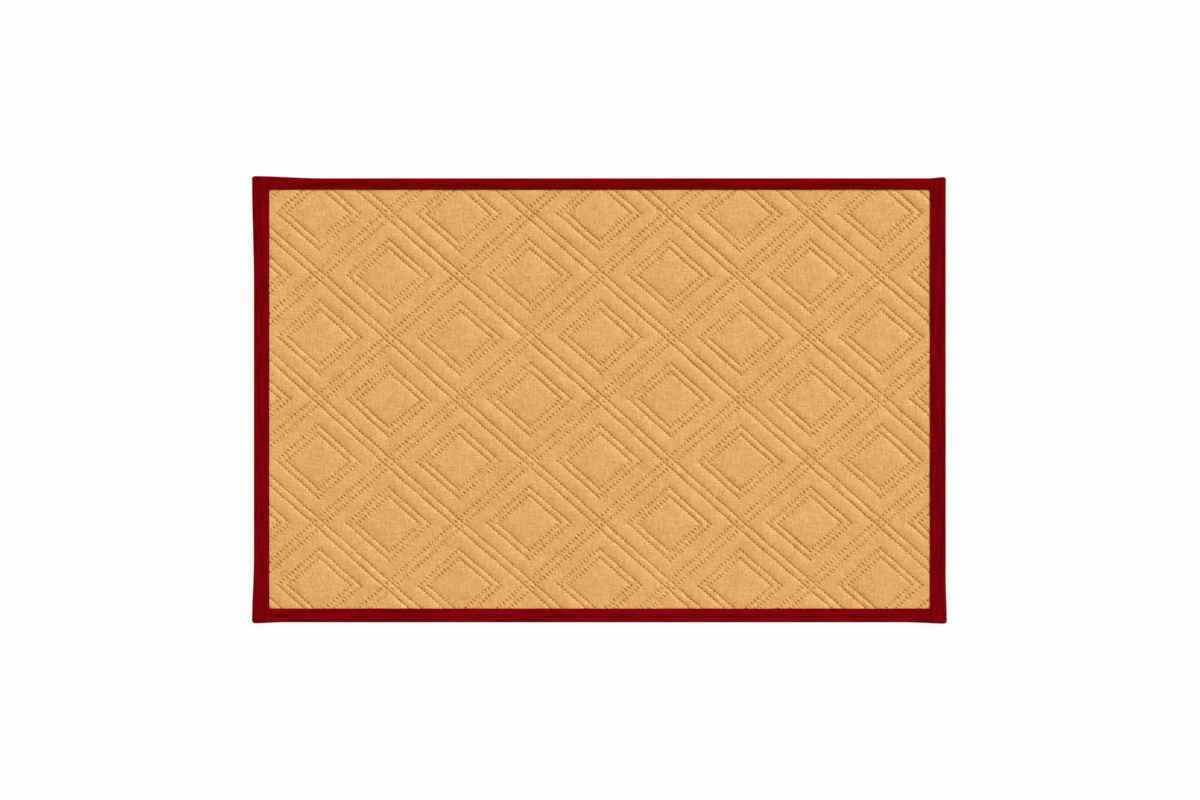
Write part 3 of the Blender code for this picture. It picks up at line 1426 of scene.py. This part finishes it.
@dataclass
class BindingStrip:
    """One folded strip of binding: a flat sleeve, open towards the panel, closed over its outer fold.

    The side strips are closed at their ends as well, over the mat's corners, and the other two butt against
    them.

    Attributes:
        plan: The mat's plan.
        edge: The side of the mat that the strip binds.
        node: The solid that it is shown for.
        slot: What it is made of; not used.
        height: How thick the strip is, from its lower face to its upper one.
        cloth: How thick its cloth is.
        lip_rounding: How far the cut lips are rounded, as a share of that.
        fold_radius: The radius of its fold.
        butt_gap: What is left between it and the strips that it butts against.
        station: From one of the mesh's lines across the strip to the next.
        end_steps: Where those lines lie over a closed end.
        across_station: From one of the mesh's lines along the strip to the next.
        across_steps: Where those lines lie over the fold.
        bead: The ridge inside the fold.
        hollow: The hollow beside the lip.
        droop: The lip's dip down to the panel.
        ripple: The small ripples along the lip.
        ripple_size: How long they are along the strip and across it.
        sway: How high the broad swellings are.
        sway_size: How long they are along the strip and across it.
        settle_start: How far from the fold the lip's forms begin.
        settle_reach: How far each of them takes to set in.
        wander: How far the lip wanders from a straight line.
        wander_length: From one bend of it to the next.
        wander_reach: How far in from the lip it is felt.
        roll: How much the fold's radius grows on its upper side, and shrinks on its lower one, near the
            strip's first corner.
        roll_start: How far from that corner it does so to the full.
        roll_reach: How far from that corner it no longer does.
        seed: What its random draws start from.
    """

    plan: Plan
    edge: Edge
    node: str
    name: str
    slot: str = "red_cotton"
    height: float = 0.0032
    cloth: float = 0.00032
    lip_rounding: float = 0.35
    fold_radius: float = 0.0014
    butt_gap: float = 0.00003
    station: float = 0.0013
    end_steps: tuple[float, ...] = (*FOLD_STEPS, 0.0020, 0.0028, 0.0040)
    across_station: float = 0.0009
    across_steps: tuple[float, ...] = (*FOLD_STEPS, 0.0019, 0.0026, 0.0034, 0.0043)
    bead: Band = Band(height=0.00010, middle=0.0019, reach=0.0008)
    hollow: Band = Band(height=-0.00018, middle=0.0027, reach=0.0013)
    droop: Band = Band(height=-0.00038, middle=0.0, reach=0.0016)
    ripple: Band = Band(height=0.00010, middle=0.0026, reach=0.0017)
    ripple_size: tuple[float, float] = (0.0034, 0.004)
    sway: float = 0.00006
    sway_size: tuple[float, float] = (0.021, 0.009)
    settle_start: float = 0.0022
    settle_reach: float = 0.003
    wander: float = 0.00006
    wander_length: float = 0.008
    wander_reach: float = 0.002
    roll: float = 0.0
    roll_start: float = 0.008
    roll_reach: float = 0.075
    seed: int = 40

    SWAY_START = (7, 3)

    @property
    def inner_edge(self) -> float:
        """How far the strip's inner edge lies from the mat's middle."""
        shown = self.plan.shown
        return {
            Edge.LEFT: -shown.left,
            Edge.RIGHT: shown.right,
            Edge.NEAR: -shown.near,
            Edge.FAR: shown.far,
        }[self.edge]

    @property
    def outer_edge(self) -> float:
        """How far the strip's fold lies from the mat's middle."""
        return self.plan.half_width if self.edge.upright else self.plan.half_depth

    def stations(self) -> np.ndarray:
        """Where the mesh's lines across the strip lie.

        Returns:
            Their places along it, in order.
        """
        if self.edge.upright:
            ends = np.array(self.end_steps)
            half = self.plan.half_depth
            count = round(2 * (half - ends[-1]) / self.station)
            middle = np.linspace(ends[-1] - half, half - ends[-1], count)
            return np.concatenate([ends[:-1] - half, middle, half - ends[:-1][::-1]])
        low = self.plan.shown.left + self.butt_gap
        high = self.plan.shown.right - self.butt_gap
        return np.linspace(low, high, round((high - low) / self.station))

    def crossings(self) -> np.ndarray:
        """Where the mesh's lines along the strip lie.

        Returns:
            Their distances from its fold, in order, as shares of its width.
        """
        width = self.outer_edge - self.inner_edge
        first = np.array(self.across_steps)
        count = round((width - first[-1]) / self.across_station)
        rest = np.linspace(first[-1], width, count)
        return np.concatenate([first[:-1], rest]) / width

    def fold_start(self, along: np.ndarray) -> np.ndarray:
        """How far in from the square-cut side the outline lies, because the ends are rounded.

        Args:
            along: Places along the strip.

        Returns:
            The distances, 0 between the ends.
        """
        if not self.edge.upright:
            return np.zeros_like(along)
        radius = self.plan.corner_radius
        short = np.maximum(radius - (self.plan.half_depth - np.abs(along)), 0.0)
        return radius - np.sqrt(np.maximum(radius**2 - short**2, 0.0))

    def sleeve_plan(self) -> tuple[Places, np.ndarray, np.ndarray]:
        """The mesh's places seen from above, before the sides are drawn in.

        Returns:
            The places, how far they lie inside the outline, and how far from the strip's inner edge.
        """
        along = self.stations()
        share = self.crossings()
        width = self.outer_edge - self.inner_edge
        start = self.fold_start(along)
        from_side = start[:, None] + (width - start[:, None]) * share[None, :]
        run = np.broadcast_to(along[:, None], from_side.shape)
        outward = self.outer_edge - from_side
        sign = sum(self.edge.value)
        x, y = (sign * outward, run) if self.edge.upright else (run, sign * outward)
        inside = np.maximum(self.plan.depth_inside(x, y), 0.0)
        return (x, y), inside, width - from_side

    def from_corners(self, along: np.ndarray) -> tuple[np.ndarray, np.ndarray]:
        """How far places lie from the corners of the panel that shows.

        Args:
            along: The places along the strip.

        Returns:
            Their distances from the first corner, towards -X or -Y, and from the last.
        """
        shown = self.plan.shown
        first, last = (shown.near, shown.far) if self.edge.upright else (shown.left, shown.right)
        return along - first, last - along

    def rolled(self, along: np.ndarray) -> np.ndarray:
        """How much the fold's radius grows on its upper side, and shrinks on its lower one.

        Args:
            along: Places along the strip.

        Returns:
            The lengths.
        """
        from_first, _ = self.from_corners(along)
        lasting = 1.0 - eased(from_first / self.roll_reach)
        return self.roll * eased(from_first / self.roll_start) * lasting

    def fold(self, inside: np.ndarray, radius: np.ndarray) -> np.ndarray:
        """How far the round fold has closed in on the strip's flat face, at places inside the outline."""
        short = radius - np.minimum(inside, radius)
        return radius - np.sqrt(radius**2 - short**2)

    def crown(self, along: np.ndarray, inside: np.ndarray, from_lip: np.ndarray) -> np.ndarray:
        """The upper lip's gentle forms: a ridge inside the fold, a hollow, and ripples beside the panel.

        Args:
            along: The places along the strip.
            inside: How far they lie inside the outline.
            from_lip: How far they lie from the strip's inner edge.

        Returns:
            The heights to add.
        """
        grain = Grain(self.seed)
        beside_panel = eased(np.minimum(*self.from_corners(along)) / self.settle_reach)
        settled = eased((inside - self.settle_start) / self.settle_reach) * beside_panel
        small = self.ripple.at(from_lip) * grain.over(along, from_lip, self.ripple_size)
        broad = self.sway * grain.over(along, inside, self.sway_size, self.SWAY_START)
        ripples = (small + broad) * eased(from_lip / self.settle_reach)
        lip = self.hollow.at(from_lip) + self.droop.at(from_lip)
        return self.bead.at(inside) + (lip + ripples) * settled

    def wandered(self, x: np.ndarray, y: np.ndarray, from_lip: np.ndarray) -> Places:
        """Where places lie once the lip wanders a little from a straight line.

        Args:
            x: Their places along X.
            y: Their places along Y.
            from_lip: How far they lie from the strip's inner edge.

        Returns:
            Their new places.
        """
        along = y if self.edge.upright else x
        bends = Grain(self.seed + 1).swing(along / self.wander_length, np.zeros_like(along))
        shift = sum(self.edge.value) * self.wander * bends * np.exp(-from_lip / self.wander_reach)
        return (x + shift, y) if self.edge.upright else (x, y + shift)

    def build(self) -> bpy.types.Object:
        """Builds the strip.

        Returns:
            The strip, still open towards the panel, its cloth's thickness and rounded lips in modifiers.
        """
        (x, y), inside, from_lip = self.sleeve_plan()
        along = y if self.edge.upright else x
        rolled = self.rolled(along)
        flat = self.height + self.crown(along, inside, from_lip)
        upper = flat - self.fold(inside, self.fold_radius + rolled)
        lower = self.fold(inside, self.fold_radius - rolled)
        x, y = self.plan.drawn_in(*self.wandered(x, y, from_lip))

        columns, rows = x.shape
        top = np.stack([x, y, upper], axis=2).reshape(-1, 3)
        bottom = np.stack([x, y, lower], axis=2).reshape(-1, 3)
        faces = grid_faces(columns, rows)
        below = faces[:, ::-1] + columns * rows
        walls = self.wall_faces(columns, rows)
        strip = mesh_object(self.name, np.concatenate([top, bottom]), [*faces, *below, *walls])
        self.face_out(strip.data)
        self.thicken(strip)
        return strip

    def wall_faces(self, columns: int, rows: int) -> list[list[int]]:
        """The quads that close the sleeve over its fold, and over its ends where it has them.

        Args:
            columns: How many of the mesh's lines run across the strip.
            rows: How many points each of them has.

        Returns:
            The faces.
        """
        paths = [[column * rows for column in range(columns)]]
        if self.edge.upright:
            paths = [[*range(rows - 1, 0, -1), *paths[0], *(paths[0][-1] + np.arange(1, rows))]]
        below = columns * rows
        return [[a, b, b + below, a + below] for path in paths for a, b in zip(path, path[1:])]

    def face_out(self, mesh: bpy.types.Mesh) -> None:
        """Turns a mesh's faces outwards.

        Args:
            mesh: The mesh.
        """
        bm = bmesh.new()
        bm.from_mesh(mesh)
        bmesh.ops.recalc_face_normals(bm, faces=bm.faces)
        upwards = max(bm.faces, key=lambda face: face.calc_center_median().z)
        if upwards.normal.z < 0:
            bmesh.ops.reverse_faces(bm, faces=bm.faces)
        bm.to_mesh(mesh)
        bm.free()

    def thicken(self, strip: bpy.types.Object) -> None:
        """Gives the sleeve its cloth's thickness, with rounded lips.

        Args:
            strip: The sleeve.
        """
        cloth = strip.modifiers.new("cloth", "SOLIDIFY")
        cloth.thickness = self.cloth
        cloth.offset = -1.0
        cloth.use_even_offset = True
        lips = strip.modifiers.new("lips", "BEVEL")
        lips.width = self.cloth * self.lip_rounding
        lips.segments = 2
        lips.limit_method = "ANGLE"
        lips.angle_limit = SHARP_ANGLE

    def dress(self, strip: bpy.types.Object, finish: "RedCotton") -> None:
        """Gives the strip its finish and its place in the frame.

        Args:
            strip: The strip.
            finish: Its finish.
        """
        strip.data.materials.append(finish.material(self.edge.upright))
        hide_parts(self.node)
        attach(strip, BODY)


# ---------------------------------------------------------------------------------------------------------
# The finishes
# ---------------------------------------------------------------------------------------------------------


@dataclass(frozen=True)
class GoldCotton:
    """Fine plain-woven gold cotton, quilted: mottled, drawn in at the rows, pricked at every needle hole,
    with shade painted into its creases and needle holes.

    Attributes:
        deep: Its colour where it is darkest.
        pale: Its colour where it is lightest.
        fold: The darker, more saturated colour painted deep in the creases along the rows: painted shade.
        painted_shade: How far such a crease takes on that painted shade colour.
        roughness: How matt it is.
        gloss: How much it shines.
        sheen: How much its nap catches the light.
        yarn: From one yarn to the next but one.
        weave: What a yarn does where it lies over the others.
        slubs: The yarns' thick places.
        warp: The unevenness of the yarns along Y.
        weft: The unevenness of the yarns along X.
        blotches: The dye's patches.
        drift: Its slow change over the mat.
        crinkle: The finest creases, all over.
        crease_and_shade: What a stitched row does: its crease, and shade painted into it.
        crease_reach: How far from the row.
        slack: How the rows' depth varies along them.
        slack_swing: How much, as a share.
        hole: What a needle hole does: a dip, and shade painted into it.
        hole_reach: How far from the hole.
        hole_squeeze: What a distance along the row counts there, against one across it.
        tug: What the stitches' pull does, beside the needle holes and, the other way, between them.
        tug_reach: How far from the row.
        pull: How the depth of the holes and of the tug varies.
        tug_swing: How much the tug's does, as a share.
        puckers: The creases that run away from the rows, by their size along a row and away from it; their
            tone paints light on their crests and shade in their hollows.
        pucker_reach: How far from the row they run.
    """

    name: str = "gold_quilted_cotton"
    deep: Colour = (0.510, 0.152, 0.000, 1.0)
    pale: Colour = (0.886, 0.534, 0.133, 1.0)
    # Painted shade: the colour painted into the rows' creases, darker and more saturated than the cloth, and
    # its share.
    fold: Colour = (0.670, 0.300, 0.004, 1.0)
    painted_shade: float = 0.45
    roughness: float = 0.50
    gloss: float = 1.0
    sheen: float = 0.08
    yarn: float = 0.00046
    weave: Mark = Mark(tone=0.06, relief=0.030)
    slubs: Mottle = Mottle(size=even(0.0010), detail=2.0, tone=0.42, relief=0.07)
    warp: Mottle = Mottle(size=(0.0007, 0.007, 0.01), detail=2.0, tone=0.32, relief=0.045)
    weft: Mottle = Mottle(size=(0.007, 0.0007, 0.01), detail=2.0, tone=0.26, relief=0.045)
    blotches: Mottle = Mottle(size=even(0.0065), detail=3.0, tone=0.11, relief=0.02)
    drift: Mottle = Mottle(size=even(0.045), detail=1.0, tone=0.06)
    crinkle: Mottle = Mottle(size=even(0.0024), detail=2.0, relief=0.045)
    # Painted shade: a row's crease darkens the cloth's tone, besides the crease's real bump.
    crease_and_shade: Mark = Mark(tone=-0.02, relief=-0.08)
    crease_reach: float = 0.00095
    slack: Mottle = Mottle(size=even(0.011), detail=1.0)
    slack_swing: float = 1.2
    # Painted shade: the needle holes' darker tone stands for the shade in them, besides their real dip.
    hole: Mark = Mark(tone=-0.03, relief=-0.05)
    hole_reach: float = 0.00074
    hole_squeeze: float = 0.8
    tug: Mark = Mark(relief=-0.22)
    tug_reach: float = 0.0025
    pull: Mottle = Mottle(size=even(0.0042), detail=1.0)
    tug_swing: float = 1.2
    # Painted light and shade: the puckers' tone follows their relief, paler on the crests, darker in the
    # hollows.
    puckers: Mottle = Mottle(size=(0.0016, 0.0072, 1.0), detail=1.5, tone=0.14, relief=0.60)
    pucker_reach: float = 0.0062

    def row_marks(self, trellis: Trellis, own: Value, other: Value) -> tuple[Value, Value, Value]:
        """The marks of the rows that run one way.

        Args:
            trellis: The quilting's lines.
            own: The distance from that way's nearest bar.
            other: The distance from the other way's nearest bar.

        Returns:
            The distance from the nearest row, how near a place is to a needle hole, from 0 to 1, and how
            far the stitches pull it down, from -1 to 1.
        """
        gaps, holes, tugs = [], [], []
        for row in trellis.rows:
            first = 0.0 if row.crosses else row.inside
            step = (trellis.pitch - 2 * first) / row.stitches
            gap = abs(own - row.inside)
            if not row.crosses:
                gap = gap + (1.0 - other.above(row.inside - self.hole_reach / 2))
            phase = (other - first) / step
            from_hole = phase - phase.rounded()
            along = from_hole * (step * trellis.side / trellis.pitch * self.hole_squeeze)
            near = gap.fading(self.tug_reach)
            gaps.append(gap)
            holes.append(((gap * gap + along * along) ** 0.5).fading(self.hole_reach))
            tugs.append((from_hole * (2 * pi)).cosine() * near * near)
        return reduce(Value.least, gaps), reduce(Value.most, holes), reduce(add, tugs)

    def puckering(self, dye: Dye, gap: Value, along: Value, across: Value) -> Value:
        """The small creases that run away from the rows of one way.

        Args:
            dye: The material.
            gap: The distance from the nearest row of that way.
            along: The place along those rows, in metres.
            across: The place across them.

        Returns:
            Their height, about -1 to 1.
        """
        place = Value(dye.node("ShaderNodeCombineXYZ", {}, {0: along, 1: across}).outputs[0])
        near = gap.fading(self.pucker_reach)
        return dye.mottled(place, self.puckers) * near * near

    def material(self, trellis: Trellis) -> bpy.types.Material:
        """Makes the material.

        Args:
            trellis: The quilting's lines.

        Returns:
            The material.
        """
        dye = Dye(self.name)
        place = dye.place()
        x, y, _ = dye.parts(place)
        turns = trellis.turns(x, y)
        falling, rising = (abs(turn - turn.rounded()) * trellis.pitch for turn in turns)
        runs = [turn * trellis.side for turn in turns]
        fall_gap, fall_hole, fall_tug = self.row_marks(trellis, falling, rising)
        rise_gap, rise_hole, rise_tug = self.row_marks(trellis, rising, falling)

        slack = 1.0 + dye.mottled(place, self.slack) * self.slack_swing
        pull = dye.mottled(place, self.pull)
        # Painted shade: how near a place is to a row, which also darkens its colour there.
        crease_and_shade = fall_gap.least(rise_gap).fading(self.crease_reach) * slack
        puckers = self.puckering(dye, fall_gap, *reversed(runs)) + self.puckering(dye, rise_gap, *runs)
        mottles = (self.slubs, self.warp, self.weft, self.blotches, self.drift, self.crinkle)
        tone, relief = dye.marked([
            *((mottle, dye.mottled(place, mottle)) for mottle in mottles),
            (self.weave, dye.woven(x, y, self.yarn)),
            # Painted light and shade: the puckers' tone follows their height.
            (self.puckers, puckers),
            (self.crease_and_shade, crease_and_shade),
            # Painted shade in the needle holes, besides their dip.
            (self.hole, fall_hole.most(rise_hole) * (1.0 + pull)),
            (self.tug, (fall_tug + rise_tug) * (1.0 + pull * self.tug_swing)),
        ])
        dye.raise_by(relief)
        colour = dye.blended(tone, self.deep, self.pale)
        # Painted shade: the rows' creases are blended towards the darker fold colour.
        return dye.finish({
            "Base Color": dye.blended((crease_and_shade * self.painted_shade).least(1.0), colour, self.fold),
            "Roughness": self.roughness,
            "Specular IOR Level": self.gloss,
            "Sheen Weight": self.sheen,
        })


@dataclass(frozen=True)
class GoldThread:
    """Twisted cotton thread of a gold paler than the panel's, a painted highlight on the stitches.

    Attributes:
        colour: Its colour at its middle brightness, paler than the panel's: a painted highlight.
        roughness: How matt it is.
        gloss: How much it shines.
        twist: From one ply to the next along the thread, measured along X.
        plies: What a ply does to its brightness and its surface.
        mottling: Its uneven brightness.
    """

    name: str = "gold_thread"
    # Painted highlight: the thread is paler than the cloth, so the stitches read as bright dashes.
    colour: Colour = (0.930, 0.575, 0.225, 1.0)
    roughness: float = 0.60
    gloss: float = 0.30
    twist: float = 0.00042
    plies: Mark = Mark(tone=0.06, relief=0.03)
    mottling: Mottle = Mottle(size=even(0.003), detail=2.0, tone=0.10)

    def material(self) -> bpy.types.Material:
        """Makes the material.

        Returns:
            The material.
        """
        dye = Dye(self.name)
        place = dye.place()
        x, _, _ = dye.parts(place)
        plies = (x * (2 * pi / self.twist)).sine()
        dye.raise_by(plies * self.plies.relief)
        uneven = dye.mottled(place, self.mottling) * self.mottling.tone
        return dye.finish({
            "Base Color": dye.shaded(self.colour, 1.0 + uneven + plies * self.plies.tone),
            "Roughness": self.roughness,
            "Specular IOR Level": self.gloss,
        })


@dataclass(frozen=True)
class RedCotton:
    """Smooth dark red cotton, faintly streaked along the strip.

    Attributes:
        deep: Its colour where it is darkest.
        pale: Its colour where it is lightest.
        roughness: How matt it is.
        gloss: How much it shines.
        yarn: From one yarn to the next but one.
        weave: What a yarn does where it lies over the others.
        streaks: The streaks of a strip that runs along Y.
        blotches: The dye's patches.
        slubs: The yarns' thick places.
    """

    name: str = "red_cotton"
    deep: Colour = (0.134, 0.0002, 0.0010, 1.0)
    pale: Colour = (0.234, 0.0014, 0.0052, 1.0)
    roughness: float = 0.80
    gloss: float = 0.0
    yarn: float = 0.00036
    weave: Mark = Mark(tone=0.08, relief=0.022)
    streaks: Mottle = Mottle(size=(0.0011, 0.022, 0.01), detail=2.0, tone=1.05, relief=0.05)
    blotches: Mottle = Mottle(size=even(0.008), detail=3.0, tone=0.30)
    slubs: Mottle = Mottle(size=even(0.0011), detail=2.0, tone=0.62, relief=0.06)

    def material(self, upright: bool) -> bpy.types.Material:
        """Makes the material.

        Args:
            upright: Whether the strip runs along Y.

        Returns:
            The material.
        """
        dye = Dye(self.name + ("_upright" if upright else "_level"))
        place = dye.place()
        x, y, _ = dye.parts(place)
        mottles = (self.streaks if upright else self.streaks.turned(), self.blotches, self.slubs)
        tone, relief = dye.marked([
            *((mottle, dye.mottled(place, mottle)) for mottle in mottles),
            (self.weave, dye.woven(x, y, self.yarn)),
        ])
        dye.raise_by(relief)
        return dye.finish({
            "Base Color": dye.blended(tone, self.deep, self.pale),
            "Roughness": self.roughness,
            "Specular IOR Level": self.gloss,
        })


# ---------------------------------------------------------------------------------------------------------
# The studio
# ---------------------------------------------------------------------------------------------------------


@dataclass
class Studio:
    """A plain white floor under soft light, and a camera straight above.

    Attributes:
        frame_width: How much of the floor the photograph's width takes in, at the height of the mat's edge.
        aim: Where on the floor the middle of the frame lies.
        camera_height: How high the camera hangs.
        edge_height: The height of the mat's edge.
        sensor: How wide the camera's sensor is, in millimetres.
        sun_heading: Where the main light comes from, anticlockwise from +X, seen from above.
        sun_height: How high it stands over the floor.
        sun_spread: How wide it looks from the mat.
        sun_strength: How strong it is.
        sky: How strong the even white round the mat is.
        floor_size: How wide the floor is.
        floor_roughness: How matt it is.
        floor_white: How much of the light it gives back.
        floor_glow: How much it gives by itself.
    """

    frame_width: float = 0.7944
    aim: tuple[float, float] = (0.00038, -0.00007)
    camera_height: float = 2.2
    edge_height: float = 0.0016
    sensor: float = 36.0
    sun_heading: float = radians(45)
    sun_height: float = radians(38)
    sun_spread: float = radians(22)
    sun_strength: float = 2.75
    sky: float = 0.55
    floor_size: float = 14.0
    floor_roughness: float = 0.9
    floor_white: float = 0.065
    floor_glow: float = 0.92

    def camera(self) -> None:
        """Places the camera over the mat, looking straight down, with +Y up in the frame."""
        data = bpy.data.cameras.new("camera")
        data.sensor_width = self.sensor
        data.lens = self.sensor * (self.camera_height - self.edge_height) / self.frame_width
        camera = placed("camera", data)
        camera.location = (*self.aim, self.camera_height)
        bpy.context.scene.camera = camera

    def lights(self) -> None:
        """Sets up the main light and the even white round it."""
        data = bpy.data.lights.new("main_light", "SUN")
        data.energy = self.sun_strength
        data.angle = self.sun_spread
        light = placed("main_light", data)
        reach = cos(self.sun_height)
        across, along = reach * cos(self.sun_heading), reach * sin(self.sun_heading)
        towards = Vector((across, along, sin(self.sun_height)))
        light.rotation_mode = "QUATERNION"
        light.rotation_quaternion = towards.to_track_quat("Z", "Y")

        world = bpy.data.worlds.new("studio")
        world.use_nodes = True
        background = world.node_tree.nodes["Background"]
        background.inputs["Color"].default_value = WHITE
        background.inputs["Strength"].default_value = self.sky
        bpy.context.scene.world = world

    def floor(self) -> None:
        """Lays a white floor that glows a little, as a lit table does, so that shadows on it stay faint."""
        bm = bmesh.new()
        bmesh.ops.create_grid(bm, x_segments=1, y_segments=1, size=self.floor_size / 2)
        mesh = finished_mesh("floor", bm)
        mesh.materials.append(Dye("white_floor").finish({
            "Base Color": (*even(self.floor_white), 1.0),
            "Roughness": self.floor_roughness,
            "Specular IOR Level": 0.0,
            "Emission Color": WHITE,
            "Emission Strength": self.floor_glow,
        }))
        floor = placed("floor", mesh)

    def build(self) -> None:
        """Builds the whole studio, with colours shown as they are."""
        self.camera()
        self.lights()
        self.floor()
        bpy.context.scene.view_settings.view_transform = "Standard"
        bpy.context.scene.view_settings.look = "None"


@dataclass
class Placemat:
    """The whole mat: the quilted cloth, its stitches and its binding.

    Attributes:
        plan: The mat's plan.
        trellis: The lines of its quilting.
    """

    plan: Plan = field(default_factory=Plan)
    trellis: Trellis = field(default_factory=Trellis)

    def cloth(self) -> tuple[QuiltedCloth, bpy.types.Object]:
        """Builds and dresses the quilted cloth.

        Returns:
            The cloth's sizes and surfaces, and its object.
        """
        relief = Relief(self.trellis, self.plan.shown)
        cloth = QuiltedCloth(self.plan, relief, Underside(self.trellis))
        panel = cloth.build()
        cloth.dress(panel, GoldCotton())
        report(panel)
        return cloth, panel

    def stitches(self, cloth: QuiltedCloth) -> list[bpy.types.Object]:
        """Builds and dresses the stitches on both faces of the cloth.

        Args:
            cloth: The quilted cloth.

        Returns:
            The stitches, one object for each kind of row and way.
        """
        shown = self.plan.shown
        above = Stitching(self.trellis, cloth.relief, shown, on_top=True, sides=6, rings=UPPER_RINGS)
        below = Stitching(self.trellis, cloth.underside, shown, on_top=False, sides=4, rings=LOWER_RINGS)
        thread = GoldThread().material()
        made = []
        for prefix, stitching in (("stitches", above), ("under_stitches", below)):
            for way in Way:
                for kind, rows in (("bars", stitching.along_bars), ("echoes", stitching.along_echoes)):
                    piece = stitching.build(f"{prefix}_{kind}_{way.name.lower()}", rows(way))
                    stitching.dress(piece, thread)
                    report(piece)
                    made.append(piece)
        return made

    def binding(self) -> list[bpy.types.Object]:
        """Builds and dresses the four strips of binding.

        Returns:
            The strips.
        """
        strips = [
            BindingStrip(self.plan, Edge.LEFT, "binding_left", "left_binding", seed=41),
            BindingStrip(self.plan, Edge.RIGHT, "binding_right", "right_binding", seed=43),
            BindingStrip(self.plan, Edge.NEAR, "binding_bottom", "bottom_binding", roll=0.0008, seed=45),
            BindingStrip(self.plan, Edge.FAR, "binding_top", "top_binding", seed=47),
        ]
        made = []
        for strip in strips:
            piece = strip.build()
            strip.dress(piece, RedCotton())
            report(piece)
            made.append(piece)
        return made

    def build(self) -> None:
        """Builds the mat."""
        cloth, panel = self.cloth()
        others = [*self.binding(), *self.stitches(cloth)]
        cloth.flat_size


def report(piece: bpy.types.Object) -> None:
    """Says what was built."""
    triangles = sum(len(face.vertices) - 2 for face in piece.data.polygons)
    LOG.info("%s: %d triangles before modifiers", piece.name, triangles)


def main() -> None:
    """Builds the studio and the mat."""
    logging.basicConfig(level=logging.INFO, format="%(message)s")
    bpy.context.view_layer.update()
    Studio().build()
    Placemat().build()


if __name__ == "__main__":
    main()
